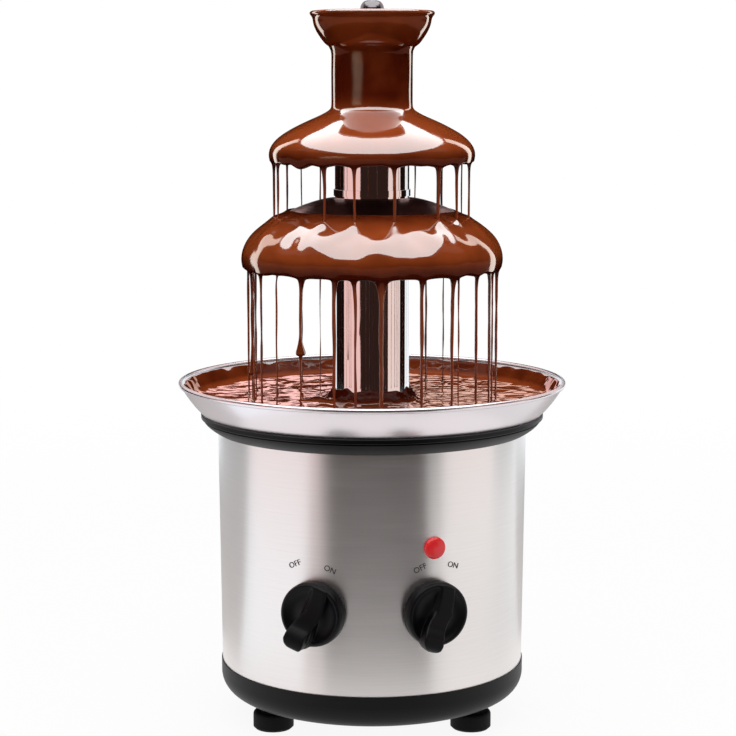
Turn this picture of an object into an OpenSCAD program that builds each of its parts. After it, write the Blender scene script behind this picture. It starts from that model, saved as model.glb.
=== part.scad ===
// Chocolate fountain: a heated bowl on a round steel housing, with a two-tier tower that a screw auger feeds.
// Millimetres. Z is up, the feet stand on z = 0, the tower stands on the Z axis and the controls face -Y.

/* [Feet] */
// Radius of a foot pad
foot_r = 11; // [9:0.5:13]
// Height of a foot pad
foot_h = 10; // [8:0.5:12]
// Gap between a foot pad and the tray
foot_gap = 4; // [3.5:0.5:6]
// How far the feet stand in from the sleeve's lower edge
foot_in = 21; // [19:1:25]
// Radius of a foot stud
foot_stud_r = 4; // [3:0.25:4.5]

/* [Housing] */
// Height of the base tray
tray_h = 18.6; // [16:0.2:22]
// Radius of the tray's rounded lower edge
tray_round = 11.8; // [8:0.2:13]
// How far the tray stands proud of the sleeve
tray_lip = 0.6; // [0.4:0.1:1.5]
// Wall thickness of the tray
tray_wall = 2.5; // [2:0.1:3.2]
// Height of the upstand that centres the sleeve
tray_upstand = 7; // [4:0.5:10]
// Height of the sleeve
sleeve_h = 129; // [118:0.2:140]
// How far the sleeve's upper edge stands in from the bowl's rim
sleeve_in = 20.6; // [19:0.2:22]
// How much narrower the sleeve is at its lower edge
sleeve_taper = 1.4; // [0:0.2:3]
// Sheet thickness of the sleeve
sleeve_t = 0.9; // [0.6:0.1:1.4]

/* [Bowl] */
// Radius of the bowl at its rim
bowl_r = 105; // [102:0.5:110]
// Depth of the bowl
bowl_depth = 33; // [31:0.5:36]
// Radius of the curve of the bowl's wall
bowl_curve = 62; // [58:1:66]
// Sheet thickness of the bowl
bowl_t = 1.2; // [0.8:0.1:1.6]
// Radius of the rolled rim
bead_r = 1.4; // [1.2:0.1:2]
// Height of the rim above the ring
bowl_rise = 16.4; // [14:0.2:18]
// Depth of the chocolate below the rim
pool_below = 9; // [6:0.5:14]
// Height of the bowl ring above the sleeve
ring_h = 8.2; // [7.6:0.2:12]
// Thickness of the ring's lip around the bowl
ring_lip = 1.2; // [0.8:0.1:2]
// Height of the ring's lower band
ring_band = 4.8; // [4:0.2:5.6]
// Depth of the groove between the bands
ring_groove = 1.2; // [0.6:0.1:1.8]
// Depth of the skirt inside the sleeve
ring_skirt = 12; // [8:0.5:16]

/* [Tower] */
// Outer radius of the tubes
tube_r = 20.2; // [19.5:0.1:21]
// Wall thickness of the tubes
tube_t = 1.4; // [1:0.1:1.6]
// Height of the lower tier's top above the bowl floor
lower_top = 132.4; // [124:0.2:140]
// Largest radius of the lower tier
lower_r = 69.2; // [60:0.2:74]
// Height of the lower tier's dome
lower_drop = 32.8; // [26:0.2:36]
// Fullness of the lower dome, where 1 is a plain sine curve
lower_full = 0.65; // [0.6:0.05:1]
// Height of the upper tier's top above the lower one
upper_top = 46; // [42:0.5:52]
// Largest radius of the upper tier
upper_r = 54.2; // [48:0.2:58]
// Height of the upper tier's dome
upper_drop = 23; // [20:0.2:27]
// Fullness of the upper dome
upper_full = 1; // [0.7:0.05:1]
// Sheet thickness of tiers and cup
tier_t = 1.2; // [0.8:0.1:1.6]
// Height of the cup's bottom above the upper tier
cup_above = 33.4; // [28:0.2:38]
// Height of the cup
cup_h = 19.6; // [17:0.2:23]
// Inside radius of the cup's wall at the rim
cup_r = 29.6; // [27:0.2:33]
// How far the cup's rim flares out
cup_flare = 1.2; // [0.8:0.1:2.2]
// Radius of a tower pin
pin_r = 2; // [1.6:0.1:2.4]
// Height of a tower pin
pin_h = 5.5; // [4:0.5:7]
// Height of the intake arches
intake_h = 14; // [10:0.5:18]

/* [Chocolate] */
// Thickness of the chocolate film
film = 1.8; // [1.4:0.1:2.4]
// Radius inside which the lower tier stays bare
bare_r = 39; // [34:1:44]
// Strands that fall from the upper tier
upper_strands = 17; // [8:1:24]
// Strands that fall from the lower tier
lower_strands = 23; // [8:1:30]
// Radius of a strand
strand_r = 0.9; // [0.6:0.1:1.3]

/* [Auger] */
// Radius of the core tube
core_r = 6.5; // [6.2:0.1:7.5]
// Wall thickness of the core tube
core_t = 1.1; // [0.8:0.1:1.2]
// Gap between the flight and the sleeve that joins the tubes
flight_gap = 1.2; // [0.9:0.1:3]
// Thickness of the flight
flight_t = 1.6; // [1.2:0.1:2.4]
// Rise of the flight in one turn
pitch = 22; // [18:0.5:28]
// How far the tip stands above the cup
tip_above = 6; // [4:0.5:9]

/* [Drive] */
// Radius of the drive shaft
shaft_r = 4; // [3.5:0.1:4]
// Length of the hex dog
dog_h = 15; // [10:0.5:17]
// Height of the thrust collar on the shaft
collar_h = 2; // [1.5:0.1:3]
// Height of the bush above the bowl floor
bush_h = 12; // [10.5:0.5:14]
// Tooth module of the gears
gear_m = 0.8; // [0.7:0.05:0.85]
// Teeth on the output gear
gear_teeth = 54; // [54:2:58]
// Teeth on the pinion
pinion_teeth = 18; // [18:2:22]
// Face width of the gears
gear_w = 8; // [6:0.5:9]
// Inside height of the gear case
case_h = 16; // [15:0.5:18]
// Wall thickness of the gear case
case_t = 3; // [2.5:0.1:3.5]
// Length of the standoffs between bowl and motor plate
hang = 25; // [22:0.5:28]
// Thickness of the motor plate
plate_t = 2; // [1.5:0.1:3]
// Radius of the motor plate
plate_r = 54; // [53:0.5:60]
// Radius of the circle of standoffs
standoff_ring = 45.6; // [45:0.1:46]
// Corner radius of a hexagonal standoff
standoff_r = 4.4; // [4:0.1:4.5]
// Radius of the motor can
motor_r = 28; // [24:0.5:30]
// Height of the motor can
motor_h = 46; // [40:0.5:52]
// Radius of the rotor's magnet
rotor_r = 14; // [12:0.2:16]
// Radius of the rotor shaft
rotor_shaft_r = 2.5; // [2:0.1:3]

/* [Heater] */
// Radius of the heater's circle
heater_ring_r = 33.6; // [33.2:0.1:34]
// Radius of the heater's tube
heater_r = 4; // [3.5:0.1:4.2]
// Radius of the thermostat's disc
thermo_r = 6.6; // [6:0.1:7]
// Height of the thermostat
thermo_h = 8; // [6:0.5:12]

/* [Controls] */
// Height of the knobs' axes above the sleeve's lower edge
knob_up = 44.2; // [40:0.2:52]
// Angle of the motor's knob from the front
motor_angle = 20.5; // [18:0.5:24]
// Angle of the heater's knob from the front
heat_angle = 22; // [18:0.5:24]
// Radius of a knob
knob_r = 17; // [15:0.5:18]
// Thickness of a knob's disc
knob_h = 7; // [5.5:0.5:9]
// Height of the grip bar at its tail
grip_h = 9; // [6:0.5:12]
// Width of the grip bar at its pointer end
grip_w = 7.6; // [7.4:0.2:9]
// Width of the grip bar at its tail
tail_w = 11.4; // [10:0.2:13]
// Depth of the finger hollows beside the grip bar
scoop = 1.9; // [1:0.1:2.2]
// Angle of the grip from upright at rest
knob_turn = 20; // [10:1:22.5]
// Gap between knob and sleeve
knob_gap = 1.2; // [0.8:0.1:2]
// Side of the switch body
switch_w = 21; // [19:0.5:22]
// Depth of the switch body
switch_d = 22; // [18:0.5:24]
// Radius of the switch's threaded neck
neck_r = 5; // [4.4:0.1:5.5]
// Radius of the switch's shaft
stem_r = 3; // [2.4:0.1:3.2]
// Height of the pilot lens above the sleeve's lower edge
lens_up = 78; // [74:0.2:84]
// Angle of the pilot lens from the front
lens_angle = 22.5; // [18:0.5:24]
// Radius of the pilot lens
lens_r = 5.8; // [5:0.1:7]
// How far the lens stands out
lens_h = 2.6; // [1.8:0.1:4]

/* [Supply] */
// Height of the cord gland above the sleeve's lower edge
gland_up = 20; // [17:0.5:24]
// Radius of the gland's hole for the cord
gland_bore = 3.6; // [3:0.1:4.2]
// Radius of the gland's flange
gland_r = 9; // [8:0.5:11]
// Length of the gland outside the sleeve
gland_out = 13; // [9:0.5:15]
// Length of the terminal block
block_l = 30; // [24:1:34]
// Width of the terminal block
block_w = 14; // [11:0.5:16]
// Height of the terminal block
block_h = 13; // [11.5:0.5:16]

/* [Hidden] */
$fn = 64;
sleeve_top = bowl_r - sleeve_in;
sleeve_bot = sleeve_top - sleeve_taper;
foot_ring = sleeve_bot - foot_in;
// Gap between two pieces that sit against each other
seat = 0.1;
// Running gap between a shaft and its hole
run = 0.06;
// Gap between two pieces that slide past each other
slip = 0.3;
z_tray = foot_h + foot_gap;
z_sleeve = z_tray + tray_h;
z_ring = z_sleeve + sleeve_h;
z_ring_top = z_ring + ring_h;
z_rim = z_ring_top + bowl_rise;
z_under = z_rim - bowl_depth;
z_floor = z_under + bowl_t;
z_pool = z_rim - pool_below;
tray_r = sleeve_bot + tray_lip;
tray_floor = z_tray + 3;
bowl_cx = bowl_r - sqrt(pow(bowl_curve, 2) - pow(bowl_curve - bowl_depth, 2));
bowl_cz = z_under + bowl_curve;
ring_r = bowl_cx + sqrt(pow(bowl_curve, 2) - pow(bowl_cz - z_ring_top, 2)) + ring_lip;
tube_in = tube_r - tube_t;
spigot_r = tube_in - run;
spigot_t = 1.1;
flight_r = spigot_r - spigot_t - flight_gap;
z_lower = z_floor + lower_top;
z_joint = z_lower + 1;
z_upper = z_lower + upper_top;
z_cup = z_upper + cup_above;
z_cup_top = z_cup + cup_h;
z_plate = z_under - hang - plate_t;
z_case = z_plate - 2 * case_t - case_h;
z_gear = z_case + case_t + (case_h - gear_w) / 2;
z_motor = z_case - motor_h;
gear_c = gear_m * (gear_teeth + pinion_teeth) / 2;
case_r = gear_m * gear_teeth / 2 + gear_m + 2.5 + case_t;
pinion_case_r = 15.5 + case_t;
z_bush_top = z_floor + bush_h;
z_hub = z_bush_top + 0.2 + collar_h;
z_flight = z_hub + 1;
hex_gap = 0.25;
foot_angles = [210, 330, 90];
standoff_angles = [30, 150, 270];
z_foot_boss = tray_floor + 11;
foot_nut_h = 6;
z_screw_boss = tray_floor + 7;
screw_r = 2;
z_knob = z_sleeve + knob_up;
knob_angles = [-motor_angle, heat_angle];
z_lens = z_sleeve + lens_up;
z_gland = z_sleeve + gland_up;
// Places of the screws that hold the gear case to its plate
ear_r = 5;
ear_places = [[-case_r * 0.87, -case_r * 0.5], [case_r * 0.87, -case_r * 0.5], [0, gear_c + pinion_case_r]];
motor_screw_x = 10.6;

steel = [0.78, 0.78, 0.78];
plastic = [0.08, 0.08, 0.09];
brown = [0.28, 0.12, 0.06];

// Points of an arc around c from angle a to angle b
function arc(c, r, a, b, n) = [for (i = [0:n]) c + r * [cos(a + (b - a) * i / n), sin(a + (b - a) * i / n)]];
// Points of a curve from p to q that leaves p and reaches q towards c
function sweep_to(p, c, q, n) = [for (i = [0:n]) let (t = i / n) (1 - t) * (1 - t) * p + 2 * t * (1 - t) * c + t * t * q];
function reverse(p) = [for (i = [len(p) - 1:-1:0]) p[i]];
function unit(v) = v / norm(v);
function along(p, i) = unit(p[min(i + 1, len(p) - 1)] - p[max(i - 1, 0)]);
// Points of p moved by d to the left of their direction
function shifted(p, d) = [for (i = [0:len(p) - 1]) p[i] + d * [-along(p, i)[1], along(p, i)[0]]];
function sleeve_r(z) = sleeve_bot + (sleeve_top - sleeve_bot) * (z - z_sleeve) / sleeve_h;
function bowl_in_r(z, gap) = bowl_cx + sqrt(pow(bowl_curve - bowl_t - gap, 2) - pow(bowl_cz - z, 2));
// Outside of a tier from its top to a little past its widest place
function dome(r0, r1, z, drop, full) = [for (i = [0:20]) let (v = 1.12 * pow(i / 20, 1.4))
    [r0 + (r1 - r0) * pow(sin(90 * v), full), z - drop * v]];
// Outside of the cup from its bottom to its flared rim
function cup(r0, r1, z, h, flare) = concat([for (i = [0:10]) [r0 + (r1 - r0) * sin(9 * i), z + (h - flare) * i / 10]],
    [[r1 + flare * 0.5, z + h - flare * 0.5 - 0.4], [r1 + flare, z + h - 0.6], [r1 + flare, z + h]]);
// Angle that an involute has turned at radius r
function inv(rb, r) = r <= rb ? 0 : sqrt(pow(r / rb, 2) - 1) * 180 / PI - acos(rb / r);
function tooth(m, n, r) = 90 / n - 0.06 / (m * n / 2) * 180 / PI + inv(m * n * 0.47, m * n / 2) - inv(m * n * 0.47, r);
function on_circle(r, a) = r * [cos(a), sin(a)];
function gear_points(m, n) = let (lo = m * n / 2 - 1.25 * m, hi = m * n / 2 + m)
    [for (i = [0:n - 1]) for (j = [-4:4]) if (j != 0)
        let (r = lo + (hi - lo) * (4 - abs(j)) / 3) on_circle(r, 360 * i / n + sign(j) * tooth(m, n, r))];

// Puts a piece on the sleeve, with its own Z pointing out and its own Y pointing up
module on_sleeve(angle, z) {
    rotate([0, 0, angle])
        translate([0, -sleeve_r(z), z])
            rotate([90, 0, 0])
                children();
}

module around(angles, r) {
    for (a = angles)
        translate([r * cos(a), r * sin(a), 0])
            children();
}

module ring(r_in, r_out, z, h) {
    translate([0, 0, z])
        difference() {
            cylinder(r = r_out, h = h);
            translate([0, 0, -1])
                cylinder(r = r_in, h = h + 2);
        }
}

module tray_shape(r, z, h, rd) {
    rotate_extrude()
        polygon(concat([[0, z]], arc([r - rd, z + rd], rd, -90, 0, 12), [[r, z + h], [0, z + h]]));
}

module base_tray() {
    up_r = sleeve_bot - sleeve_t - slip;
    color(plastic)
        difference() {
            union() {
                difference() {
                    union() {
                        tray_shape(tray_r, z_tray, tray_h, tray_round);
                        translate([0, 0, z_sleeve - 1])
                            cylinder(r = up_r, h = tray_upstand + 1);
                    }
                    tray_shape(tray_r - tray_wall, tray_floor, tray_h - 5, tray_round - tray_wall);
                    translate([0, 0, z_sleeve - 3])
                        cylinder(r = up_r - tray_wall, h = tray_upstand + 4);
                }
                around(foot_angles, foot_ring)
                    translate([0, 0, z_tray])
                        cylinder(r = foot_stud_r + 4, h = z_foot_boss - z_tray);
                around(standoff_angles, standoff_ring)
                    translate([0, 0, z_tray])
                        cylinder(r = 6.5, h = z_screw_boss - z_tray);
            }
            around(foot_angles, foot_ring)
                translate([0, 0, z_tray - 1])
                    cylinder(r = foot_stud_r + run, h = 30);
            around(standoff_angles, standoff_ring) {
                translate([0, 0, z_tray - 1])
                    cylinder(r = screw_r + 0.2, h = 30);
                translate([0, 0, z_tray - 1])
                    cylinder(r = 4.2, h = 5);
            }
            for (i = [-4:4])
                translate([i * 6 - 1.5, -11, z_tray - 1])
                    cube([3, 22, 6]);
        }
}

module housing_sleeve() {
    color(steel)
        difference() {
            rotate_extrude()
                polygon([[sleeve_bot - sleeve_t, z_sleeve], [sleeve_bot, z_sleeve], [sleeve_top, z_ring],
                    [sleeve_top - sleeve_t, z_ring]]);
            for (a = knob_angles)
                on_sleeve(a, z_knob)
                    translate([0, 0, -8])
                        cylinder(r = neck_r + seat, h = 16);
            on_sleeve(lens_angle, z_lens)
                translate([0, 0, -8])
                    cylinder(r = lens_r - 1 + seat, h = 16);
            on_sleeve(180, z_gland)
                translate([0, 0, -8])
                    cylinder(r = gland_bore + 2 + seat, h = 16);
        }
}

module bowl_ring() {
    in_r = sleeve_top - sleeve_t - slip;
    low = [sleeve_top + 0.8, z_ring - 1.2];
    high = [ring_r - ring_groove, z_ring + ring_band];
    band = [[ring_r - ring_groove - 0.8, high[1] + 0.1], [ring_r - ring_groove - 0.8, high[1] + 0.9],
        [ring_r - 0.3, high[1] + 0.9], [ring_r, high[1] + 1.2], [ring_r, z_ring_top - 0.3],
        [ring_r - 0.3, z_ring_top]];
    color(plastic)
        rotate_extrude()
            difference() {
                polygon(concat([[in_r - 3, z_ring - ring_skirt], [in_r, z_ring - ring_skirt], [in_r, z_ring],
                    [sleeve_top + 0.2, z_ring], [sleeve_top + 0.2, z_ring - 1.2]],
                    sweep_to(low, [high[0] - 1.6, z_ring + 0.4 * ring_band], high, 12), band, [[in_r - 3, z_ring_top]]));
                translate([bowl_cx, bowl_cz])
                    circle(r = bowl_curve + seat, $fn = 180);
            }
}

module bowl() {
    hole_r = shaft_r + 4;
    color(steel)
        difference() {
            rotate_extrude() {
                intersection() {
                    translate([bowl_cx, bowl_cz])
                        difference() {
                            circle(r = bowl_curve, $fn = 180);
                            circle(r = bowl_curve - bowl_t, $fn = 180);
                        }
                    translate([bowl_cx, z_under - 1])
                        square([bowl_curve, bowl_depth + 1]);
                }
                translate([hole_r + seat, z_under])
                    square([bowl_cx - hole_r - seat, bowl_t]);
                translate([bowl_r - bowl_t / 2, z_rim])
                    circle(r = bead_r);
            }
            around(foot_angles, tube_r - tube_t / 2)
                translate([0, 0, z_under - 1])
                    cylinder(r = pin_r - 0.5 + seat, h = bowl_t + 2);
        }
}

module shaft_bush() {
    color(plastic)
        rotate_extrude()
            polygon([[shaft_r + run, z_under - 8], [shaft_r + 4, z_under - 8], [shaft_r + 4, z_under - 3],
                [shaft_r + 9, z_under - 3], [shaft_r + 9, z_under], [shaft_r + 4, z_under],
                [shaft_r + 4, z_bush_top], [shaft_r + 2.2, z_bush_top], [shaft_r + 2.2, z_bush_top - 3],
                [shaft_r + run, z_bush_top - 3]]);
}

module bush_nut() {
    color(steel)
        translate([0, 0, z_floor])
            difference() {
                cylinder(r = shaft_r + 7.5, h = 5, $fn = 6);
                translate([0, 0, -1])
                    cylinder(r = shaft_r + 4 + seat, h = 7);
            }
}

module shaft_seal() {
    color([0.35, 0.12, 0.1])
        ring(shaft_r + run, shaft_r + 2.2 - 0.05, z_bush_top - 3, 3);
}

module tower_pins() {
    color(steel)
        around(foot_angles, tube_r - tube_t / 2) {
            translate([0, 0, z_floor])
                cylinder(r = pin_r, h = pin_h);
            translate([0, 0, z_under - 1])
                cylinder(r = pin_r - 0.5, h = bowl_t + 2);
            translate([0, 0, z_under - 1.4])
                cylinder(r = pin_r + 0.6, h = 1.4);
        }
}

module heater_ring() {
    color([0.6, 0.6, 0.58]) {
        rotate([0, 0, 120])
            rotate_extrude(angle = 300)
                translate([heater_ring_r, z_under - heater_r]) {
                    circle(r = heater_r);
                    translate([-heater_r * 0.7, 0])
                        square([heater_r * 1.4, heater_r]);
                }
        for (a = [124, 56])
            rotate([0, 0, a])
                translate([heater_ring_r, 0, z_under - 2 * heater_r - 8])
                    cylinder(r = 1.6, h = 10);
    }
}

module thermostat() {
    color([0.2, 0.2, 0.22])
        translate([0, -(shaft_r + 9 + thermo_r + 0.8), z_under - thermo_h]) {
            cylinder(r = thermo_r, h = thermo_h);
            for (s = [-1, 1])
                translate([s * 3 - 0.4, -1.6, -7])
                    cube([0.8, 3.2, 8]);
        }
}

module upper_standoffs() {
    color([0.8, 0.7, 0.4])
        around(standoff_angles, standoff_ring) {
            translate([0, 0, z_under - hang])
                cylinder(r = standoff_r, h = hang, $fn = 6);
            translate([0, 0, z_plate - 7])
                cylinder(r = screw_r, h = plate_t + 8);
        }
}

module motor_plate() {
    color(steel)
        difference() {
            translate([0, 0, z_plate])
                cylinder(r = plate_r, h = plate_t);
            translate([0, 0, z_plate - 1])
                cylinder(r = shaft_r + 9, h = plate_t + 2);
            around(standoff_angles, standoff_ring)
                translate([0, 0, z_plate - 1])
                    cylinder(r = screw_r + 0.2, h = plate_t + 2);
            for (p = ear_places)
                translate([p[0], p[1], z_plate - 1])
                    cylinder(r = screw_r + 0.2, h = plate_t + 2);
        }
}

module lower_standoffs() {
    color([0.8, 0.7, 0.4])
        around(standoff_angles, standoff_ring)
            difference() {
                translate([0, 0, z_screw_boss])
                    cylinder(r = standoff_r, h = z_plate - z_screw_boss, $fn = 6);
                translate([0, 0, z_plate - 9])
                    cylinder(r = screw_r + seat, h = 10);
                translate([0, 0, z_screw_boss - 1])
                    cylinder(r = screw_r + seat, h = 13);
            }
}

module base_screws() {
    color(steel)
        around(standoff_angles, standoff_ring)
            translate([0, 0, z_tray + 4])
                difference() {
                    union() {
                        translate([0, 0, -2.6])
                            cylinder(r = 3.8, h = 2.6);
                        cylinder(r = screw_r, h = z_screw_boss - z_tray + 4);
                    }
                    for (a = [0, 90])
                        rotate([0, 0, a])
                            translate([-2.4, -0.4, -3.6])
                                cube([4.8, 0.8, 2.4]);
                }
}

module case_outline(r, r2, z, h) {
    translate([0, 0, z])
        cylinder(r = r, h = h);
    translate([0, gear_c, z])
        cylinder(r = r2, h = h);
}

module ears(z, h) {
    for (p = ear_places)
        translate([p[0], p[1], z])
            cylinder(r = ear_r, h = h);
}

module gear_case() {
    color([0.62, 0.63, 0.64])
        difference() {
            union() {
                case_outline(case_r, pinion_case_r, z_case, case_t + case_h);
                ears(z_case + 6, case_t + case_h - 6);
            }
            case_outline(case_r - case_t, pinion_case_r - case_t, z_case + case_t, case_h + 1);
            translate([0, 0, z_case - 1])
                cylinder(r = shaft_r + 2 + seat, h = case_t + 2);
            translate([0, gear_c, z_case - 1])
                cylinder(r = 6 + seat, h = case_t + 2);
            for (s = [-1, 1])
                translate([s * motor_screw_x, gear_c, z_case - 1])
                    cylinder(r = screw_r + 0.2, h = case_t + 2);
            for (p = ear_places)
                translate([p[0], p[1], z_case + case_t + case_h - 10])
                    cylinder(r = screw_r + seat, h = 11);
        }
}

module gear_cover() {
    z = z_case + case_t + case_h;
    color([0.62, 0.63, 0.64])
        difference() {
            union() {
                case_outline(case_r, pinion_case_r, z, case_t);
                ears(z, case_t);
            }
            translate([0, 0, z - 1])
                cylinder(r = shaft_r + 2 + seat, h = case_t + 2);
            for (p = ear_places)
                translate([p[0], p[1], z - 1])
                    cylinder(r = screw_r + 0.2, h = case_t + 2);
        }
}

module gear_bushes() {
    color([0.75, 0.55, 0.3])
        for (z = [z_case, z_case + case_t + case_h])
            ring(shaft_r + run, shaft_r + 2, z, case_t);
}

module screw(l) {
    difference() {
        union() {
            cylinder(r = 3.4, h = 2.2);
            translate([0, 0, -l])
                cylinder(r = screw_r, h = l + 1);
        }
        translate([-2.2, -0.4, 1])
            cube([4.4, 0.8, 3]);
    }
}

module drive_screws() {
    color(steel) {
        for (p = ear_places)
            translate([p[0], p[1], z_plate + plate_t])
                screw(12);
        for (s = [-1, 1])
            translate([s * motor_screw_x, gear_c, z_case + case_t])
                screw(case_t + 4);
    }
}

module motor_can() {
    color([0.55, 0.56, 0.58])
        translate([0, gear_c, 0])
            difference() {
                union() {
                    translate([0, 0, z_motor + 2])
                        cylinder(r = motor_r, h = motor_h - 2);
                    translate([0, 0, z_case - 1])
                        cylinder(r = 6, h = case_t + 1);
                }
                translate([0, 0, z_motor + 1])
                    cylinder(r = motor_r - 1.5, h = motor_h - 6);
                translate([0, 0, z_case - 8])
                    cylinder(r = rotor_shaft_r + run, h = 16);
                for (s = [-1, 1])
                    translate([s * motor_screw_x, 0, z_case - 6])
                        cylinder(r = screw_r + seat, h = 8);
                for (a = [45:90:315])
                    rotate([0, 0, a])
                        translate([motor_r - 4, -3, z_motor + 12])
                            cube([8, 6, 16]);
            }
}

module motor_cap() {
    color([0.2, 0.2, 0.22])
        translate([0, gear_c, z_motor]) {
            difference() {
                union() {
                    cylinder(r = motor_r, h = 2);
                    translate([0, 0, 1])
                        cylinder(r = motor_r - 1.5 - seat, h = 4);
                    cylinder(r = 7, h = 8);
                }
                translate([0, 0, 2])
                    cylinder(r = rotor_shaft_r + run, h = 8);
            }
        }
}

module motor_stator() {
    color([0.7, 0.45, 0.2])
        translate([0, gear_c, 0])
            ring(rotor_r + 0.8, motor_r - 1.5 - seat, z_motor + 8, motor_h - 16);
}

module switch_body() {
    color([0.16, 0.16, 0.17])
        difference() {
            union() {
                translate([-switch_w / 2, -switch_w / 2, -2.4 - switch_d])
                    cube([switch_w, switch_w, switch_d]);
                translate([0, 0, -5])
                    cylinder(r = neck_r, h = 5 + 4.2);
                for (s = [-1, 1])
                    translate([s * 6 - 0.4, -2, -2.4 - switch_d - 7])
                        cube([0.8, 4, 8]);
            }
            translate([0, 0, -14])
                cylinder(r = stem_r + run, h = 30);
        }
}

module motor_switch() {
    on_sleeve(knob_angles[0], z_knob)
        switch_body();
}

module heat_switch() {
    on_sleeve(knob_angles[1], z_knob)
        switch_body();
}

module switch_nuts() {
    color(steel)
        for (a = knob_angles)
            on_sleeve(a, z_knob)
                difference() {
                    translate([0, 0, 0.12])
                        cylinder(r = neck_r + 3, h = 2.4, $fn = 6);
                    translate([0, 0, -1])
                        cylinder(r = neck_r + seat, h = 5);
                }
}

module knob() {
    low = knob_gap;
    top = knob_gap + knob_h;
    tail = knob_r - tail_w / 2 + 2;
    crest = top + grip_h;
    color(plastic)
        rotate([0, 0, -knob_turn])
            difference() {
                union() {
                    rotate_extrude()
                        polygon(concat([[0, low], [knob_r, low]], sweep_to([knob_r, top - 2.6],
                            [knob_r - 0.2, top - 0.3], [knob_r - 1.8, top], 6), sweep_to([knob_r - 2.2, top],
                            [knob_r * 0.6, top - 2 * scoop], [grip_w / 2 - 1, top - 0.2], 10), [[0, top - 0.2]]));
                    intersection() {
                        rotate([90, 0, 90])
                            translate([0, 0, -knob_r])
                                linear_extrude(height = 2 * knob_r)
                                    polygon(concat([[knob_r, top - 3]], sweep_to([knob_r, top + 0.4],
                                        [knob_r * 0.1, top + 0.8], [-knob_r * 0.38, top + grip_h * 0.55], 10),
                                        sweep_to([-knob_r * 0.4, top + grip_h * 0.575],
                                        [-knob_r * 0.72, crest + 0.6], [-knob_r * 0.98, crest - 0.6], 8),
                                        sweep_to([-knob_r * 1.0, crest - 0.8], [-knob_r - 2, crest - 2],
                                        [-knob_r - 2.4, top], 6), [[-knob_r - 2.4, top - 3]]));
                        translate([0, 0, top - 3])
                            linear_extrude(height = grip_h + 6)
                                union() {
                                    polygon([[-grip_w / 2, knob_r - 1.5], [grip_w / 2, knob_r - 1.5],
                                        [tail_w / 2, -tail], [-tail_w / 2, -tail]]);
                                    translate([0, -tail])
                                        circle(r = tail_w / 2);
                                }
                    }
                }
                translate([0, 0, low - 1])
                    cylinder(r = neck_r + 3.8, h = 5.2);
                difference() {
                    cylinder(r = stem_r + seat, h = top + 1);
                    translate([-stem_r - 1, stem_r * 0.5, 0])
                        cube([2 * stem_r + 2, stem_r + 1, top + 2]);
                }
            }
}

module stem() {
    top = knob_gap + knob_h + 0.5;
    color(steel)
        rotate([0, 0, -knob_turn])
            difference() {
                translate([0, 0, -12])
                    cylinder(r = stem_r, h = top + 12);
                translate([-stem_r - 1, stem_r * 0.5 - seat, knob_gap + 4])
                    cube([2 * stem_r + 2, stem_r + 1, top]);
            }
}

module motor_knob() {
    on_sleeve(knob_angles[0], z_knob)
        knob();
}

module heat_knob() {
    on_sleeve(knob_angles[1], z_knob)
        knob();
}

module motor_stem() {
    on_sleeve(knob_angles[0], z_knob)
        stem();
}

module heat_stem() {
    on_sleeve(knob_angles[1], z_knob)
        stem();
}

module pilot_lens() {
    color([0.8, 0.1, 0.1])
        on_sleeve(lens_angle, z_lens)
            rotate_extrude()
                polygon(concat([[0, 0.1], [lens_r, 0.1]], sweep_to([lens_r, 0.8], [lens_r - 0.4, lens_h],
                    [0, lens_h], 8)));
}

module pilot_lamp() {
    color([0.85, 0.8, 0.75])
        on_sleeve(lens_angle, z_lens) {
            translate([0, 0, -18])
                cylinder(r = lens_r - 1, h = 18);
            translate([0, 0, -3.2])
                cylinder(r = lens_r + 1.4, h = 1.8);
        }
}

module cord_gland() {
    color(plastic)
        on_sleeve(180, z_gland)
            rotate_extrude()
                polygon([[gland_bore, -8], [gland_bore + 2, -8], [gland_bore + 2, 0.15], [gland_r, 0.15],
                    [gland_r, 2.4], [gland_r - 1.2, 3.4], [gland_bore + 2.4, 5], [gland_bore + 1.4, gland_out],
                    [gland_bore, gland_out]]);
}

module terminal_block() {
    color([0.9, 0.88, 0.82])
        translate([-38 - block_l / 2 + 2, -2 - block_w / 2, tray_floor])
            difference() {
                cube([block_l, block_w, block_h]);
                for (i = [0:2])
                    translate([block_l * (i + 0.5) / 3, block_w / 2, block_h - 6])
                        cylinder(r = 2, h = 7);
                for (i = [0:2])
                    translate([block_l * (i + 0.5) / 3, -1, block_h - 8])
                        rotate([-90, 0, 0])
                            cylinder(r = 1.6, h = block_w + 2);
            }
}

module foot_nuts() {
    color(steel)
        around(foot_angles, foot_ring)
            translate([0, 0, z_foot_boss])
                difference() {
                    cylinder(r = foot_stud_r + 3, h = foot_nut_h, $fn = 6);
                    translate([0, 0, -1])
                        cylinder(r = foot_stud_r + run, h = foot_nut_h + 2);
                }
}

module foot_pad(a) {
    color(plastic)
        around([a], foot_ring)
            rotate_extrude()
                polygon(concat([[0, 0], [foot_r - 1.2, 0], [foot_r, 1.2]],
                    sweep_to([foot_r, foot_h - 2.4], [foot_r, foot_h], [foot_r - 2.4, foot_h], 6), [[0, foot_h]]));
}

module foot_stud(a) {
    color(steel)
        around([a], foot_ring)
            translate([0, 0, foot_h])
                cylinder(r = foot_stud_r, h = z_foot_boss + foot_nut_h + 2 - foot_h);
}

module foot_pad_left() {
    foot_pad(foot_angles[0]);
}

module foot_stud_left() {
    foot_stud(foot_angles[0]);
}

module foot_pad_right() {
    foot_pad(foot_angles[1]);
}

module foot_stud_right() {
    foot_stud(foot_angles[1]);
}

module foot_pad_rear() {
    foot_pad(foot_angles[2]);
}

module foot_stud_rear() {
    foot_stud(foot_angles[2]);
}

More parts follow.
